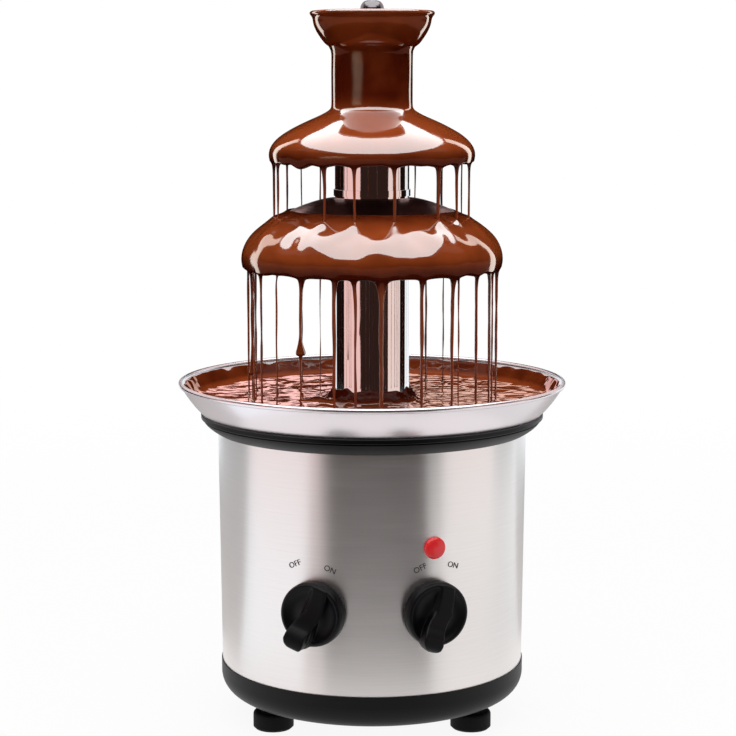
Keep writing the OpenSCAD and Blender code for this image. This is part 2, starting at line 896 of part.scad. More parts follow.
module chocolate_pool() {
    color(brown)
        rotate_extrude()
            difference() {
                intersection() {
                    union() {
                        translate([bowl_cx, bowl_cz])
                            circle(r = bowl_curve - bowl_t - seat, $fn = 180);
                        translate([0, z_floor + seat])
                            square([bowl_cx, bowl_depth]);
                    }
                    translate([tube_r + slip, z_floor + seat])
                        square([bowl_r, z_pool - z_floor - seat]);
                }
                translate([0, z_floor - 1])
                    square([tube_r + pin_r + slip, pin_h + 1.5]);
            }
}

module drive_shaft() {
    color(steel) {
        translate([0, 0, z_case + slip])
            cylinder(r = shaft_r, h = z_hub - z_case - slip);
        translate([0, 0, z_hub - 1])
            cylinder(r = shaft_r, h = dog_h + 1, $fn = 6);
    }
}

module drive_collar() {
    color([0.85, 0.85, 0.8])
        ring(shaft_r + 0.03, core_r - 0.3, z_bush_top + 0.2, collar_h);
}

module output_gear() {
    color([0.85, 0.82, 0.7])
        difference() {
            union() {
                translate([0, 0, z_gear])
                    linear_extrude(height = gear_w)
                        polygon(gear_points(gear_m, gear_teeth));
                translate([0, 0, z_case + case_t + seat])
                    cylinder(r = shaft_r + 4, h = case_h - 2 * seat);
            }
            translate([0, 0, z_case])
                cylinder(r = shaft_r + 0.03, h = case_h + 2 * case_t);
            for (a = [0:60:300])
                rotate([0, 0, a])
                    translate([13.4, 0, z_case])
                        cylinder(r = 4, h = case_h + 2 * case_t);
        }
}

module motor_pinion() {
    color([0.75, 0.55, 0.3])
        translate([0, gear_c, z_gear])
            rotate([0, 0, 180 / pinion_teeth])
                difference() {
                    linear_extrude(height = gear_w)
                        polygon(gear_points(gear_m, pinion_teeth));
                    translate([0, 0, -1])
                        cylinder(r = rotor_shaft_r + 0.03, h = gear_w + 2);
                }
}

module rotor_shaft() {
    color(steel)
        translate([0, gear_c, z_motor + 2.2])
            cylinder(r = rotor_shaft_r, h = z_gear + gear_w - z_motor - 1.2);
}

module rotor_magnet() {
    color([0.25, 0.25, 0.27])
        translate([0, gear_c, 0])
            ring(rotor_shaft_r + 0.03, rotor_r, z_motor + 10, motor_h - 20);
}

module auger_core() {
    color(steel)
        ring(core_r - core_t, core_r, z_hub, z_cup_top - 6 - z_hub);
}

module auger_hub() {
    color(plastic)
        translate([0, 0, z_hub])
            difference() {
                cylinder(r = core_r - core_t - 0.03, h = dog_h + 8);
                translate([0, 0, -1])
                    cylinder(r = shaft_r + hex_gap, h = dog_h + 1.5, $fn = 6);
            }
}

module auger_tip() {
    z = z_cup_top - 6;
    h = 6 + tip_above;
    color(steel) {
        translate([0, 0, z])
            rotate_extrude()
                polygon(concat([[0, 0], [core_r, 0]], sweep_to([core_r, h - core_r * 0.9], [core_r, h],
                    [core_r * 0.3, h], 10), [[0, h]]));
        translate([0, 0, z - 10])
            cylinder(r = core_r - core_t - 0.03, h = 11);
    }
}

module auger_flight() {
    steps = 24;
    rings = round((z_cup + 2 - z_flight) / pitch * steps);
    r_in = (core_r + 0.05) / cos(180 / steps);
    points = [for (i = [0:rings]) let (a = 360 * i / steps, z = z_flight + pitch * i / steps)
        for (p = [[r_in, 0], [flight_r, 0], [flight_r, flight_t], [r_in, flight_t]])
            [p[0] * cos(a), p[0] * sin(a), z + p[1]]];
    sides = [for (i = [0:rings - 1]) for (k = [0:3]) let (p = 4 * i + k, q = 4 * i + (k + 1) % 4)
        for (f = [[p, q, q + 4], [p, q + 4, p + 4]]) [f[2], f[1], f[0]]];
    color(steel)
        polyhedron(points = points, faces = concat(sides, [[0, 1, 2], [0, 2, 3]],
            [[4 * rings + 2, 4 * rings + 1, 4 * rings], [4 * rings + 3, 4 * rings + 2, 4 * rings]]));
}

module lower_tube() {
    color(steel)
        difference() {
            ring(tube_in, tube_r, z_floor, z_joint - z_floor);
            around(foot_angles, tube_r - tube_t / 2)
                translate([0, 0, z_floor - 1])
                    cylinder(r = pin_r + slip, h = pin_h + 1 + slip);
            for (a = [30, 150, 270])
                rotate([0, 0, a]) {
                    translate([tube_in - 3, -6, z_floor - 1])
                        cube([8, 12, intake_h - 5]);
                    translate([tube_in - 3, 0, z_floor + intake_h - 6])
                        rotate([0, 90, 0])
                            cylinder(r = 6, h = 8);
                }
        }
}

module tier(outer) {
    color(steel)
        rotate_extrude()
            intersection() {
                polygon(concat(outer, reverse(shifted(outer, -tier_t))));
                translate([tube_r + 0.03, 0])
                    square([bowl_r, z_cup_top]);
            }
}

lower_dome = dome(tube_r + seat, lower_r, z_lower, lower_drop, lower_full);
upper_dome = dome(tube_r + seat, upper_r, z_upper, upper_drop, upper_full);

module lower_tier() {
    tier(lower_dome);
    color(steel)
        ring(tube_r + 0.03, tube_r + 1.2, z_lower - 6, 5.4);
}

module upper_tier() {
    tier(upper_dome);
    color(steel)
        ring(tube_r + 0.03, tube_r + 1.2, z_upper - 8, 6.4);
}

module tower_spigot() {
    color(steel)
        ring(spigot_r - spigot_t, spigot_r, z_joint - 12, 24);
}

module upper_tube() {
    color(steel) {
        ring(tube_in, tube_r, z_joint, z_cup - z_joint);
        ring(tube_r - 0.5, tube_r + 0.7, z_joint, 3.4);
    }
}

cup_outer = cup(tube_r + 0.9, cup_r + tier_t, z_cup, cup_h - film, cup_flare);

module crown_cup() {
    color(steel)
        rotate_extrude()
            polygon(concat([[tube_r + 0.03, z_cup - 8], [tube_r + 0.9, z_cup - 8]], cup_outer,
                reverse(shifted(cup_outer, tier_t)), [[tube_r + 0.03, z_cup + 0.1]]));
}

// A film over a tier, with a rounded lower edge that hangs below the metal
module coat(outer) {
    e = outer[len(outer) - 1];
    color(brown)
        rotate_extrude()
            polygon(concat(shifted(outer, film), sweep_to(e + [film, -0.6], e + [film * 0.8, -2.6],
                e + [-1, -2.6], 4), [e + [-tier_t - 1.6, -1.6], e + [-tier_t - 1.6, -slip], e + [seat, -slip]],
                reverse(shifted(outer, seat))));
}

// Threads of chocolate between a tier's edge and what is below, unevenly spaced
module strands(outer, n, low) {
    e = outer[len(outer) - 1];
    r = e[0] - 0.2;
    for (i = [0:n - 1])
        rotate([0, 0, 360 * (i + 0.35 * sin(137 * i)) / n])
            translate([r, 0, 0]) {
                translate([0, 0, low])
                    cylinder(r = strand_r, h = e[1] - 2 - low, $fn = 24);
                translate([0, 0, e[1] - 7])
                    cylinder(r1 = strand_r, r2 = 1.7, h = 5.6, $fn = 24);
            }
}

module chocolate_lower() {
    color(brown)
        union() {
            coat([for (p = lower_dome) if (p[0] > bare_r) p]);
            strands(lower_dome, lower_strands, z_pool + slip);
        }
}

module chocolate_upper() {
    e = upper_dome[len(upper_dome) - 1];
    v = asin(pow(min(1, (e[0] - strand_r - 0.4 - tube_r) / (lower_r - tube_r)), 1 / lower_full)) / 90;
    color(brown)
        union() {
            coat(upper_dome);
            strands(upper_dome, upper_strands, z_lower - lower_drop * v + film * 1.6 + slip);
        }
}

module chocolate_crown() {
    skin = shifted(cup_outer, -film);
    inside = shifted(cup_outer, tier_t + seat);
    rim = cup_outer[len(cup_outer) - 1];
    start = 5;
    color(brown)
        rotate_extrude()
            polygon(concat([[tube_r + seat, z_upper + film + 0.2], [tube_r + film + 0.4, z_upper + film + 0.2],
                [tube_r + film + 0.4, z_cup - 3]], [for (i = [1:len(skin) - 2]) skin[i]],
                sweep_to(rim + [film, -0.4], rim + [film * 0.8, film], rim + [-1.2, film], 4),
                [[tube_in - 1.2, z_cup_top - 2.6], [tube_in - 1.2, inside[start][1]]],
                [for (i = [start:len(inside) - 2]) inside[i]],
                [[rim[0] - tier_t - seat, rim[1] + seat], [rim[0] + seat, rim[1] + seat]],
                reverse(shifted(cup_outer, -seat)),
                [[tube_r + 0.9 + seat, z_cup - 8 - seat], [tube_r + seat, z_cup - 8 - seat]]));
}

base_tray();
housing_sleeve();
bowl_ring();
bowl();
shaft_bush();
bush_nut();
shaft_seal();
tower_pins();
heater_ring();
thermostat();
upper_standoffs();
motor_plate();
lower_standoffs();
base_screws();
gear_case();
gear_cover();
gear_bushes();
drive_screws();
motor_can();
motor_cap();
motor_stator();
motor_switch();
heat_switch();
switch_nuts();
pilot_lens();
pilot_lamp();
cord_gland();
terminal_block();
foot_nuts();
chocolate_pool();
motor_knob();
motor_stem();
heat_knob();
heat_stem();
drive_shaft();
drive_collar();
output_gear();
rotor_magnet();
rotor_shaft();
motor_pinion();
auger_core();
auger_flight();
auger_hub();
auger_tip();
lower_tube();
lower_tier();
tower_spigot();
chocolate_lower();
upper_tube();
upper_tier();
crown_cup();
chocolate_crown();
chocolate_upper();
foot_pad_left();
foot_stud_left();
foot_pad_right();
foot_stud_right();
foot_pad_rear();
foot_stud_rear();
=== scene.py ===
"""Looks of the chocolate fountain: flowing chocolate, soft knobs, printed words, finishes and a studio."""

import math

import bmesh
import bpy
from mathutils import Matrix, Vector


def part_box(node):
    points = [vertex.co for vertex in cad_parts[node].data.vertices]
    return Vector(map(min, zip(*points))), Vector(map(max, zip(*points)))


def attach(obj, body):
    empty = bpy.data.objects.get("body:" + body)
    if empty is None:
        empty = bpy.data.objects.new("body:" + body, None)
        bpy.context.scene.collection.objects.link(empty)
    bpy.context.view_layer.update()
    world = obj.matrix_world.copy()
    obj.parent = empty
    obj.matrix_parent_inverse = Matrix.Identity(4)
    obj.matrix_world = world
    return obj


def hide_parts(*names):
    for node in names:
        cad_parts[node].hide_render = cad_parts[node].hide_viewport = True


bl_info = {
    "name": "Chocolate Fountain Looks",
    "version": (1, 0, 0),
    "blender": (4, 5, 0),
    "location": "View3D > Sidebar > Fountain",
    "description": "Dresses the packed fountain with chocolate, knobs, words, finishes and a studio",
    "category": "Object",
}

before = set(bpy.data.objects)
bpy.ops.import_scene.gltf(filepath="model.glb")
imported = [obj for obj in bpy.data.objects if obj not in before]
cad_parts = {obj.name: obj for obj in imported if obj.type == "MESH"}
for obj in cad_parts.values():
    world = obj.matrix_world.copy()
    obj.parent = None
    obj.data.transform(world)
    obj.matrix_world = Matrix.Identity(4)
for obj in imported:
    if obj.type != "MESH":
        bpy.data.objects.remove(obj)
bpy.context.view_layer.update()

MM = 0.001
TUBE_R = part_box("lower_tube")[1].x / MM
LOWER_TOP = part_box("lower_tier")[1].z / MM
UPPER_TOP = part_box("upper_tier")[1].z / MM
LOWER_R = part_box("lower_tier")[1].x / MM
UPPER_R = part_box("upper_tier")[1].x / MM
CUP_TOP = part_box("chocolate_crown")[1].z / MM
POOL_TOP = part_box("chocolate_pool")[1].z / MM
FLOOR_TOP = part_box("chocolate_pool")[0].z / MM
SLEEVE_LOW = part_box("housing_sleeve")[0].z / MM
SLEEVE_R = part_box("housing_sleeve")[1].x / MM
SLEEVE_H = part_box("housing_sleeve")[1].z / MM - SLEEVE_LOW
# How much narrower the sleeve is at its foot than at its top
SLEEVE_TAPER = 1.4
# A tier's outline runs this share of a quarter turn, a little past its widest place
DOME_TURN = 1.12
LOWER_DROP = (LOWER_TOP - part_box("lower_tier")[0].z / MM) / DOME_TURN
UPPER_DROP = (UPPER_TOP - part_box("upper_tier")[0].z / MM) / DOME_TURN
# The bowl's inside is an arc in section: its radius, and how far out and how high its middle lies
BOWL_BEND = 60.7
BOWL_BEND_OUT = 50.2
BOWL_BEND_UP = 215.2
# Room between chocolate and the metal that it covers
GAP = 0.1
# How far a coat's lip hangs below the metal's edge
LIP = 1.3

# Threads off the upper tier: angle from the front in degrees, faces at the root, waist in mm
UPPER_THREADS = [
    (-78.4, 2, 1.4), (-68.8, 2, 1.2), (-27.2, 4, 1.5), (-9.9, 4, 1.4), (12.4, 4, 1.5), (40.2, 5, 2.1),
    (55.5, 3, 1.3), (74.7, 2, 1.3), (99.7, 2, 1.2), (115, 1, 1.0), (134, 3, 1.4), (152.6, 1, 1.0),
    (168, 2, 1.2), (188, 3, 1.4), (214.1, 1, 1.0), (228, 1, 0.9), (241, 2, 1.2), (263.6, 2, 1.2),
]
# The same off the lower tier. Two have a drop: the share of the fall at which it hangs, and whether the
# thread ends there
LOWER_THREADS = [
    (-75.2, 1, 1.2), (-69.3, 3, 1.9, 0.57, True), (-64, 1, 1.0), (-59.4, 2, 1.3), (-45.9, 1, 0.9),
    (-32.5, 4, 1.6, 0.358, False), (-16.7, 4, 1.7), (-7.2, 4, 1.5), (4, 6, 2.8), (21.6, 4, 1.5),
    (37.2, 4, 1.6), (41.3, 1, 0.9), (53.1, 3, 1.4), (64.9, 3, 1.8), (70.4, 1, 1.0), (76.3, 2, 1.4),
    (96.5, 2, 1.3), (108.3, 2, 1.3), (120.9, 1, 1.1), (138, 3, 1.4), (143.9, 1, 0.9), (153.2, 2, 1.2),
    (161.9, 1, 1.0), (172, 3, 1.6), (187.9, 2, 1.4), (205.2, 1, 0.9), (216.2, 3, 1.4), (231, 1, 0.9),
    (250.2, 2, 1.1), (262, 2, 1.3),
]
# Where the edge of a coat hangs lower without a thread: angle, depth and reach in mm
UPPER_SAGS = [
    (-44, 2.6, 9), (-57, 0.7, 7), (0, 0.5, 6), (29, 0.7, 7), (68, 0.5, 6), (150, 0.9, 8), (230, 0.8, 8),
]
LOWER_SAGS = [
    (-56, 1.1, 9), (-25, 0.7, 7), (14, 0.8, 8), (31, 0.6, 7), (50, 0.7, 7), (130, 0.9, 9), (200, 0.9, 9),
]
# Dents and swellings of the lower coat: angle, radius, rise and reach in mm
LOWER_WAVES = [
    (-62, 64, 0.9, 11), (-40, 66, -0.9, 9), (-24, 66.5, 1.0, 10), (-13, 64, -0.9, 8), (2, 67.5, 1.1, 11),
    (22, 65.5, -0.9, 9), (33, 66, 0.8, 9), (52, 64, -0.8, 9), (70, 63, 0.7, 9), (105, 64, -0.8, 10),
    (150, 65, 0.9, 11), (185, 65, -0.8, 10), (220, 65, 0.9, 10), (262, 64, -0.7, 9),
]


class FountainSizes(bpy.types.PropertyGroup):
    """Sizes of the pieces that this file adds"""

    film: bpy.props.FloatProperty(
        name="Film", description="Thickness of the chocolate", default=1.8 * MM, min=0.5 * MM, unit="LENGTH"
    )
    segments: bpy.props.IntProperty(name="Segments", description="Faces around a coat", default=180, min=60)
    lower_drop: bpy.props.FloatProperty(
        name="Lower Drop", description="Height of the lower dome", default=LOWER_DROP * MM, unit="LENGTH"
    )
    lower_full: bpy.props.FloatProperty(
        name="Lower Fullness", description="Power that fills out the lower dome", default=0.65, min=0.2, max=2
    )
    upper_drop: bpy.props.FloatProperty(
        name="Upper Drop", description="Height of the upper dome", default=UPPER_DROP * MM, unit="LENGTH"
    )
    upper_full: bpy.props.FloatProperty(
        name="Upper Fullness", description="Power that fills out the upper dome", default=1.0, min=0.2, max=2
    )
    bare_r: bpy.props.FloatProperty(
        name="Bare Radius", description="Bare top of the lower tier", default=42.5 * MM, unit="LENGTH"
    )
    ripple: bpy.props.FloatProperty(
        name="Ripple", description="Unevenness of flowing chocolate", default=0.7 * MM, unit="LENGTH"
    )
    ripple_size: bpy.props.FloatProperty(
        name="Ripple Size", description="Width of that unevenness", default=15 * MM, unit="LENGTH"
    )
    speckle_size: bpy.props.FloatProperty(
        name="Speckle Size", description="Width of the pool's ripples", default=5 * MM, unit="LENGTH"
    )
    word_size: bpy.props.FloatProperty(
        name="Word Size", description="Letter size of the words", default=4.2 * MM, unit="LENGTH"
    )
    soften: bpy.props.FloatProperty(
        name="Soften", description="Grain that rounds a knob's edges", default=0.4 * MM, unit="LENGTH"
    )


class FountainColours(bpy.types.PropertyGroup):
    """Colours of the finishes, as sRGB hex values"""

    chocolate: bpy.props.StringProperty(
        name="Chocolate", description="Melted milk chocolate", default="A84C23"
    )
    # Deep chocolate: the colour of thick chocolate, also laid on as painted shade and painted dark reflection
    chocolate_deep_and_shade: bpy.props.StringProperty(
        name="Deep Chocolate", description="The same where it is thick", default="561A08"
    )
    steel: bpy.props.StringProperty(name="Steel", description="Brushed stainless steel", default="EDE8E6")
    chrome: bpy.props.StringProperty(
        name="Polished Steel", description="Polished stainless steel", default="E9E4E2"
    )
    plastic: bpy.props.StringProperty(name="Black Plastic", description="Moulded ABS", default="06070C")
    lens: bpy.props.StringProperty(name="Lens", description="Red pilot lens", default="DA272C")
    ink: bpy.props.StringProperty(name="Ink", description="Printed words", default="3A3638")


def linear(code):
    """sRGB hex to a linear colour with alpha"""
    parts = [int(code[i : i + 2], 16) / 255 for i in (0, 2, 4)]
    return tuple(c / 12.92 if c <= 0.04045 else ((c + 0.055) / 1.055) ** 2.4 for c in parts) + (1.0,)


def add(tree, kind, values=None, links=None, **settings):
    """Adds a node with its settings, socket values and links from other nodes' sockets"""
    node = tree.nodes.new(kind)
    for name, value in settings.items():
        setattr(node, name, value)
    for name, value in (values or {}).items():
        node.inputs[name].default_value = value
    for name, socket in (links or {}).items():
        tree.links.new(socket, node.inputs[name])
    return node


def material(name):
    """A new empty node material and its tree"""
    mat = bpy.data.materials.new(name)
    mat.use_nodes = True
    mat.node_tree.nodes.clear()
    return mat, mat.node_tree


def plain(name, code, rough, metal=0.0, **extra):
    """A finish with the same colour all over"""
    mat, tree = material(name)
    values = {"Base Color": linear(code), "Roughness": rough, "Metallic": metal, **extra}
    shader = add(tree, "ShaderNodeBsdfPrincipled", values)
    add(tree, "ShaderNodeOutputMaterial", links={"Surface": shader.outputs[0]})
    return mat


def deselect():
    """Leaves nothing selected, in object mode"""
    if bpy.context.object and bpy.context.object.mode != "OBJECT":
        bpy.ops.object.mode_set(mode="OBJECT")
    bpy.ops.object.select_all(action="DESELECT")


def only(obj):
    """Selects one piece and makes it active"""
    deselect()
    obj.select_set(True)
    bpy.context.view_layer.objects.active = obj


def lathe(name, line, segments):
    """Draws a ring through (radius, height) points in mm and stays in edit mode, its last loop selected"""
    deselect()
    r, z = line[0]
    bpy.ops.mesh.primitive_circle_add(vertices=segments, radius=r * MM, location=(0, 0, z * MM))
    obj = bpy.context.object
    obj.name = obj.data.name = name
    bpy.ops.object.transform_apply(location=True, rotation=True, scale=True)
    bpy.ops.object.mode_set(mode="EDIT")
    bpy.ops.mesh.select_mode(type="VERT")
    bpy.ops.mesh.select_all(action="SELECT")
    for r1, z1 in line[1:]:
        bpy.ops.mesh.extrude_region_move(TRANSFORM_OT_translate={"value": (0, 0, (z1 - z) * MM)})
        bpy.ops.transform.resize(value=(r1 / r, r1 / r, 1), center_override=(0, 0, 0))
        r, z = r1, z1
    return obj


def close_ring(obj):
    """Joins a ring's first and last loop, which lie on each other, and turns its faces outwards"""
    bpy.ops.mesh.select_all(action="SELECT")
    bpy.ops.mesh.remove_doubles(threshold=0.02 * MM)
    bpy.ops.mesh.normals_make_consistent(inside=False)
    return obj


def angle_of(p):
    """Angle of a point from the front in degrees, to the right"""
    return math.degrees(math.atan2(p.x, -p.y))


def apart(a, b):
    """Difference of two angles in degrees"""
    return abs((a - b + 180) % 360 - 180)


def pick_faces(obj, test, count=None, rank=None):
    """In edit mode, selects the faces that pass a test, or the count of them that rank lowest"""
    bpy.ops.mesh.select_mode(type="FACE")
    bpy.ops.mesh.select_all(action="DESELECT")
    mesh = bmesh.from_edit_mesh(obj.data)
    found = [f for f in mesh.faces if test(f.calc_center_median(), f.normal)]
    if not found:
        raise RuntimeError(f"{obj.name}: no face to work on")
    if count:
        found = sorted(found, key=lambda f: rank(f.calc_center_median()))[:count]
    for f in found:
        f.select_set(True)
    mesh.select_flush_mode()
    bmesh.update_edit_mesh(obj.data)


def pick_points(obj, test):
    """In edit mode, selects the points that pass a test"""
    bpy.ops.mesh.select_mode(type="VERT")
    bpy.ops.mesh.select_all(action="DESELECT")
    mesh = bmesh.from_edit_mesh(obj.data)
    for v in mesh.verts:
        if test(v.co):
            v.select_set(True)
    mesh.select_flush_mode()
    bmesh.update_edit_mesh(obj.data)


def picked_span(obj, tangent, radial):
    """Centre of the selected points and their spans along two directions"""
    points = [v.co for v in bmesh.from_edit_mesh(obj.data).verts if v.select]
    spans = []
    for d in (tangent, radial):
        along = [p.x * d[0] + p.y * d[1] for p in points]
        spans.append(max(along) - min(along))
    middle = [sum(p[i] for p in points) / len(points) for i in range(3)]
    return middle, spans


def spot(angle, r, z):
    """Point at an angle from the front, a radius and a height in mm"""
    a = math.radians(angle)
    return Vector((r * math.sin(a), -r * math.cos(a), z)) * MM


def pull(obj, place, shift, reach, falloff="SMOOTH"):
    """In edit mode, moves the surface near a place by a shift in mm that dies away over a reach in mm"""
    bpy.ops.mesh.select_mode(type="VERT")
    bpy.ops.mesh.select_all(action="DESELECT")
    mesh = bmesh.from_edit_mesh(obj.data)
    min(mesh.verts, key=lambda v: (v.co - place).length_squared).select_set(True)
    mesh.select_flush_mode()
    bmesh.update_edit_mesh(obj.data)
    bpy.ops.transform.translate(
        value=[d * MM for d in shift],
        use_proportional_edit=True,
        use_proportional_connected=True,
        proportional_edit_falloff=falloff,
        proportional_size=reach * MM,
    )


def sag_edge(obj, end, threads, sags):
    """Lets the edge of a coat hang lower at its threads, more under a wide root, and in a few other places"""
    r, z = end
    at_threads = [(angle, 0.3 * faces, 3 + 1.5 * faces) for angle, faces, *rest in threads]
    for angle, depth, reach in at_threads + sags:
        pull(obj, spot(angle, r, z - LIP), (0, 0, -depth), reach)


def draw_thread(obj, end, thread, land, seed, foot):
    """Draws a thread from the edge of a coat down to a height in mm"""
    angle, faces, waist, *drop = thread
    underside = end[1] - 0.6 * LIP
    facing_down, near = -0.85, 12
    pick_faces(
        obj,
        lambda c, d: d.z < facing_down and c.z / MM < underside and apart(angle_of(c), angle) < near,
        faces,
        lambda c: apart(angle_of(c), angle),
    )
    a = math.radians(angle)
    tangent, radial = (math.cos(a), math.sin(a), 0), (math.sin(a), -math.cos(a), 0)
    middle, (wide, thick) = picked_span(obj, tangent, radial)
    length = middle[2] / MM - land
    aside = math.radians((angle - angle_of(Vector(middle)) + 180) % 360 - 180) * end[0]
    size = (wide / MM, thick / MM, length)
    for depth, along, across, sway in thread_steps(faces, waist, size, aside, seed, foot, drop):
        shift = (tangent[0] * sway * MM, tangent[1] * sway * MM, -depth * MM)
        bpy.ops.mesh.extrude_region_move(TRANSFORM_OT_translate={"value": shift})
        middle, (wide, thick) = picked_span(obj, tangent, radial)
        bpy.ops.transform.resize(
            value=(along * MM / wide, across * MM / thick, 1),
            orient_type="GLOBAL",
            orient_matrix=(tangent, radial, (0, 0, 1)),
            orient_matrix_type="GLOBAL",
            center_override=middle,
        )
        bpy.ops.transform.resize(value=(1, 1, 0), center_override=middle)


def thread_steps(faces, waist, size, aside, seed, foot, drop):
    """Steps of one thread as (depth, width along the edge, width across, sway): root, run, drop and foot"""
    root_w, root_t, length = size
    root_steps, root_depth = 6, 2.2 + 2.4 * faces
    run_step = 8
    ankle_depth, foot_depth = 0.9, 0.7
    steps = []
    done = 0.0
    for k in range(1, root_steps + 1):
        share = k / root_steps
        depth = root_depth * share**1.5 - done
        done += depth
        rest = (1 - share) ** 2.4
        along = waist + (root_w * 0.86 - waist) * rest
        across = waist + (root_t - waist) * rest
        steps.append((depth, along, across, aside / root_steps))
    stop = length * drop[0] if drop else length - ankle_depth - foot_depth
    count = max(2, round((stop - done) / run_step))
    for k in range(count):
        t = (k + 1) / count * stop / length
        thin = waist * (1 - 0.22 * t) * (1 + 0.12 * math.sin(2.1 * k + seed * 1.7))
        steps.append(((stop - done) / count, thin, thin, 0.2 * math.sin(1.3 * k + seed * 2.3)))
    if not drop:
        return steps + [(ankle_depth, waist * 0.9, waist * 0.9, 0), (foot_depth, foot, foot, 0)]
    # The drop, as the depth of each step and its share of the widest
    swell = waist * 1.9 + 1.1
    falls = [(4.2, 0.34), (3.6, 0.52), (2.8, 0.78), (1.8, 1.0)]
    falls += [(1.0, 1.08), (0.8, 1.0), (0.5, 0.78), (0.2, 0.45)]
    steps += [(depth, swell * share, swell * share, 0) for depth, share in falls]
    if drop[1]:
        return steps + [(0.1, swell * 0.2, swell * 0.2, 0)]
    # A finer thread goes on below the drop
    fine, tip_depth = 0.8, 0.4
    below = length - stop - sum(depth for depth, share in falls) - tip_depth - foot_depth
    steps.append((tip_depth, fine, fine, 0))
    for wider, sway in ((0.05, 0.1), (-0.05, -0.1), (0, 0)):
        steps.append((below / 3, fine + wider, fine + wider, sway))
    return steps + [(foot_depth, foot, foot, 0)]


def ramp(value, start, end):
    """Share of the way from start to end, kept between 0 and 1"""
    return min(max((value - start) / (end - start), 0.0), 1.0)


def lip_depth_and_shade(below):
    """How dark a coat is painted at a depth in mm below its lip, partly thick chocolate and partly painted
    shade on its downturned band: most there, less above and on a thread
    """
    return 0.95 * ramp(below, -9, -1) - 0.6 * ramp(below, 2, 8)


def mark_depth_and_shade(obj, depth):
    """Keeps for each point how deep the chocolate's colour is there, for thick chocolate and for painted
    shade and painted dark reflection, from its radius and height in mm
    """
    layer = obj.data.attributes.new("thickness", "FLOAT", "POINT")
    values = [depth(math.hypot(v.co.x, v.co.y) / MM, v.co.z / MM) for v in obj.data.vertices]
    layer.data.foreach_set("value", values)


def finish_liquid(obj, sizes, strength=1.0, fine=0.0):
    """Rounds a chocolate piece, ripples it, finely too by a depth in mm where wanted, and shades it smooth"""
    bpy.ops.mesh.select_all(action="SELECT")
    bpy.ops.mesh.normals_make_consistent(inside=False)
    only(obj)
    rounded = obj.modifiers.new("Rounded", "SUBSURF")
    rounded.levels = rounded.render_levels = 1
    bpy.ops.object.modifier_apply(modifier=rounded.name)
    waves = [(sizes.ripple_size, sizes.ripple * strength), (sizes.speckle_size, fine * MM)]
    for size, depth in [wave for wave in waves if wave[1]]:
        cloud = bpy.data.textures.new("flow_" + obj.name, "CLOUDS")
        cloud.noise_scale = size
        cloud.noise_depth = 1
        uneven = obj.modifiers.new("Uneven", "DISPLACE")
        uneven.texture = cloud
        uneven.texture_coords = "LOCAL"
        uneven.strength = depth
        uneven.mid_level = 0.5
        bpy.ops.object.modifier_apply(modifier=uneven.name)
    bpy.ops.object.shade_smooth()
    return obj


def dome_line(r1, top, drop, full, count):
    """Outside of a tier from the tube to a little past its widest place, with more points near the tube"""
    line = []
    r0 = TUBE_R + GAP
    for i in range(count + 1):
        v = DOME_TURN * (i / count) ** 1.4
        line.append((r0 + (r1 - r0) * math.sin(math.radians(90 * v)) ** full, top - drop * v))
    return line


def beside(line, gap, share=lambda r: 1.0):
    """A line moved outwards by a gap, or by a share of it that depends on the radius"""
    moved = []
    for i, (r, z) in enumerate(line):
        before, after = line[max(i - 1, 0)], line[min(i + 1, len(line) - 1)]
        dr, dz = after[0] - before[0], after[1] - before[1]
        size = math.hypot(dr, dz)
        moved.append((r - dz / size * gap * share(r), z + dr / size * gap * share(r)))
    return moved


def lip_line(end, film):
    """Rounded lower edge of a coat around a tier's edge: its outside, then its underside and inside"""
    r, z = end
    outside = [(r + film, z - 0.15 * LIP), (r + film * 0.85, z - 0.65 * LIP), (r + film * 0.4, z - LIP)]
    inside = [(r - 1.6, z - LIP), (r - 2.4, z - 0.7 * LIP), (r - 2.5, z - 0.2 * LIP)]
    return outside + inside


def bowl_wall(z):
    """Inside radius of the bowl at a height"""
    return BOWL_BEND_OUT + math.sqrt(BOWL_BEND**2 - (BOWL_BEND_UP - z) ** 2)


def chocolate_finish(colours):
    """Melted milk chocolate, flowing: a wet brown mirror, deeper where it is thick, where shade is painted
    in, and in patches
    """
    mat, tree = material("melted_chocolate")
    place = add(tree, "ShaderNodeTexCoord").outputs["Object"]
    patch_mm = 22
    noise = add(tree, "ShaderNodeTexNoise", {"Scale": 1000 / patch_mm, "Detail": 2.0}, {"Vector": place})
    patches = add(
        tree,
        "ShaderNodeMapRange",
        {"From Min": 0.42, "From Max": 0.68, "To Min": 0.0, "To Max": 0.3},
        {"Value": noise.outputs["Fac"]},
    )
    # The marked depth: partly thick chocolate, partly painted shade and painted dark reflection
    thick = add(tree, "ShaderNodeAttribute", attribute_name="thickness")
    depth = add(
        tree,
        "ShaderNodeMath",
        links={0: patches.outputs["Result"], 1: thick.outputs["Fac"]},
        operation="ADD",
        use_clamp=True,
    )
    colour = add(
        tree,
        "ShaderNodeMix",
        {6: linear(colours.chocolate), 7: linear(colours.chocolate_deep_and_shade)},
        {0: depth.outputs[0]},
        data_type="RGBA",
    )
    shader = add(
        tree,
        "ShaderNodeBsdfPrincipled",
        {"Roughness": 0.07, "IOR": 1.5, "Specular IOR Level": 1.0},
        {"Base Color": colour.outputs[2]},
    )
    add(tree, "ShaderNodeOutputMaterial", links={"Surface": shader.outputs[0]})
    return mat


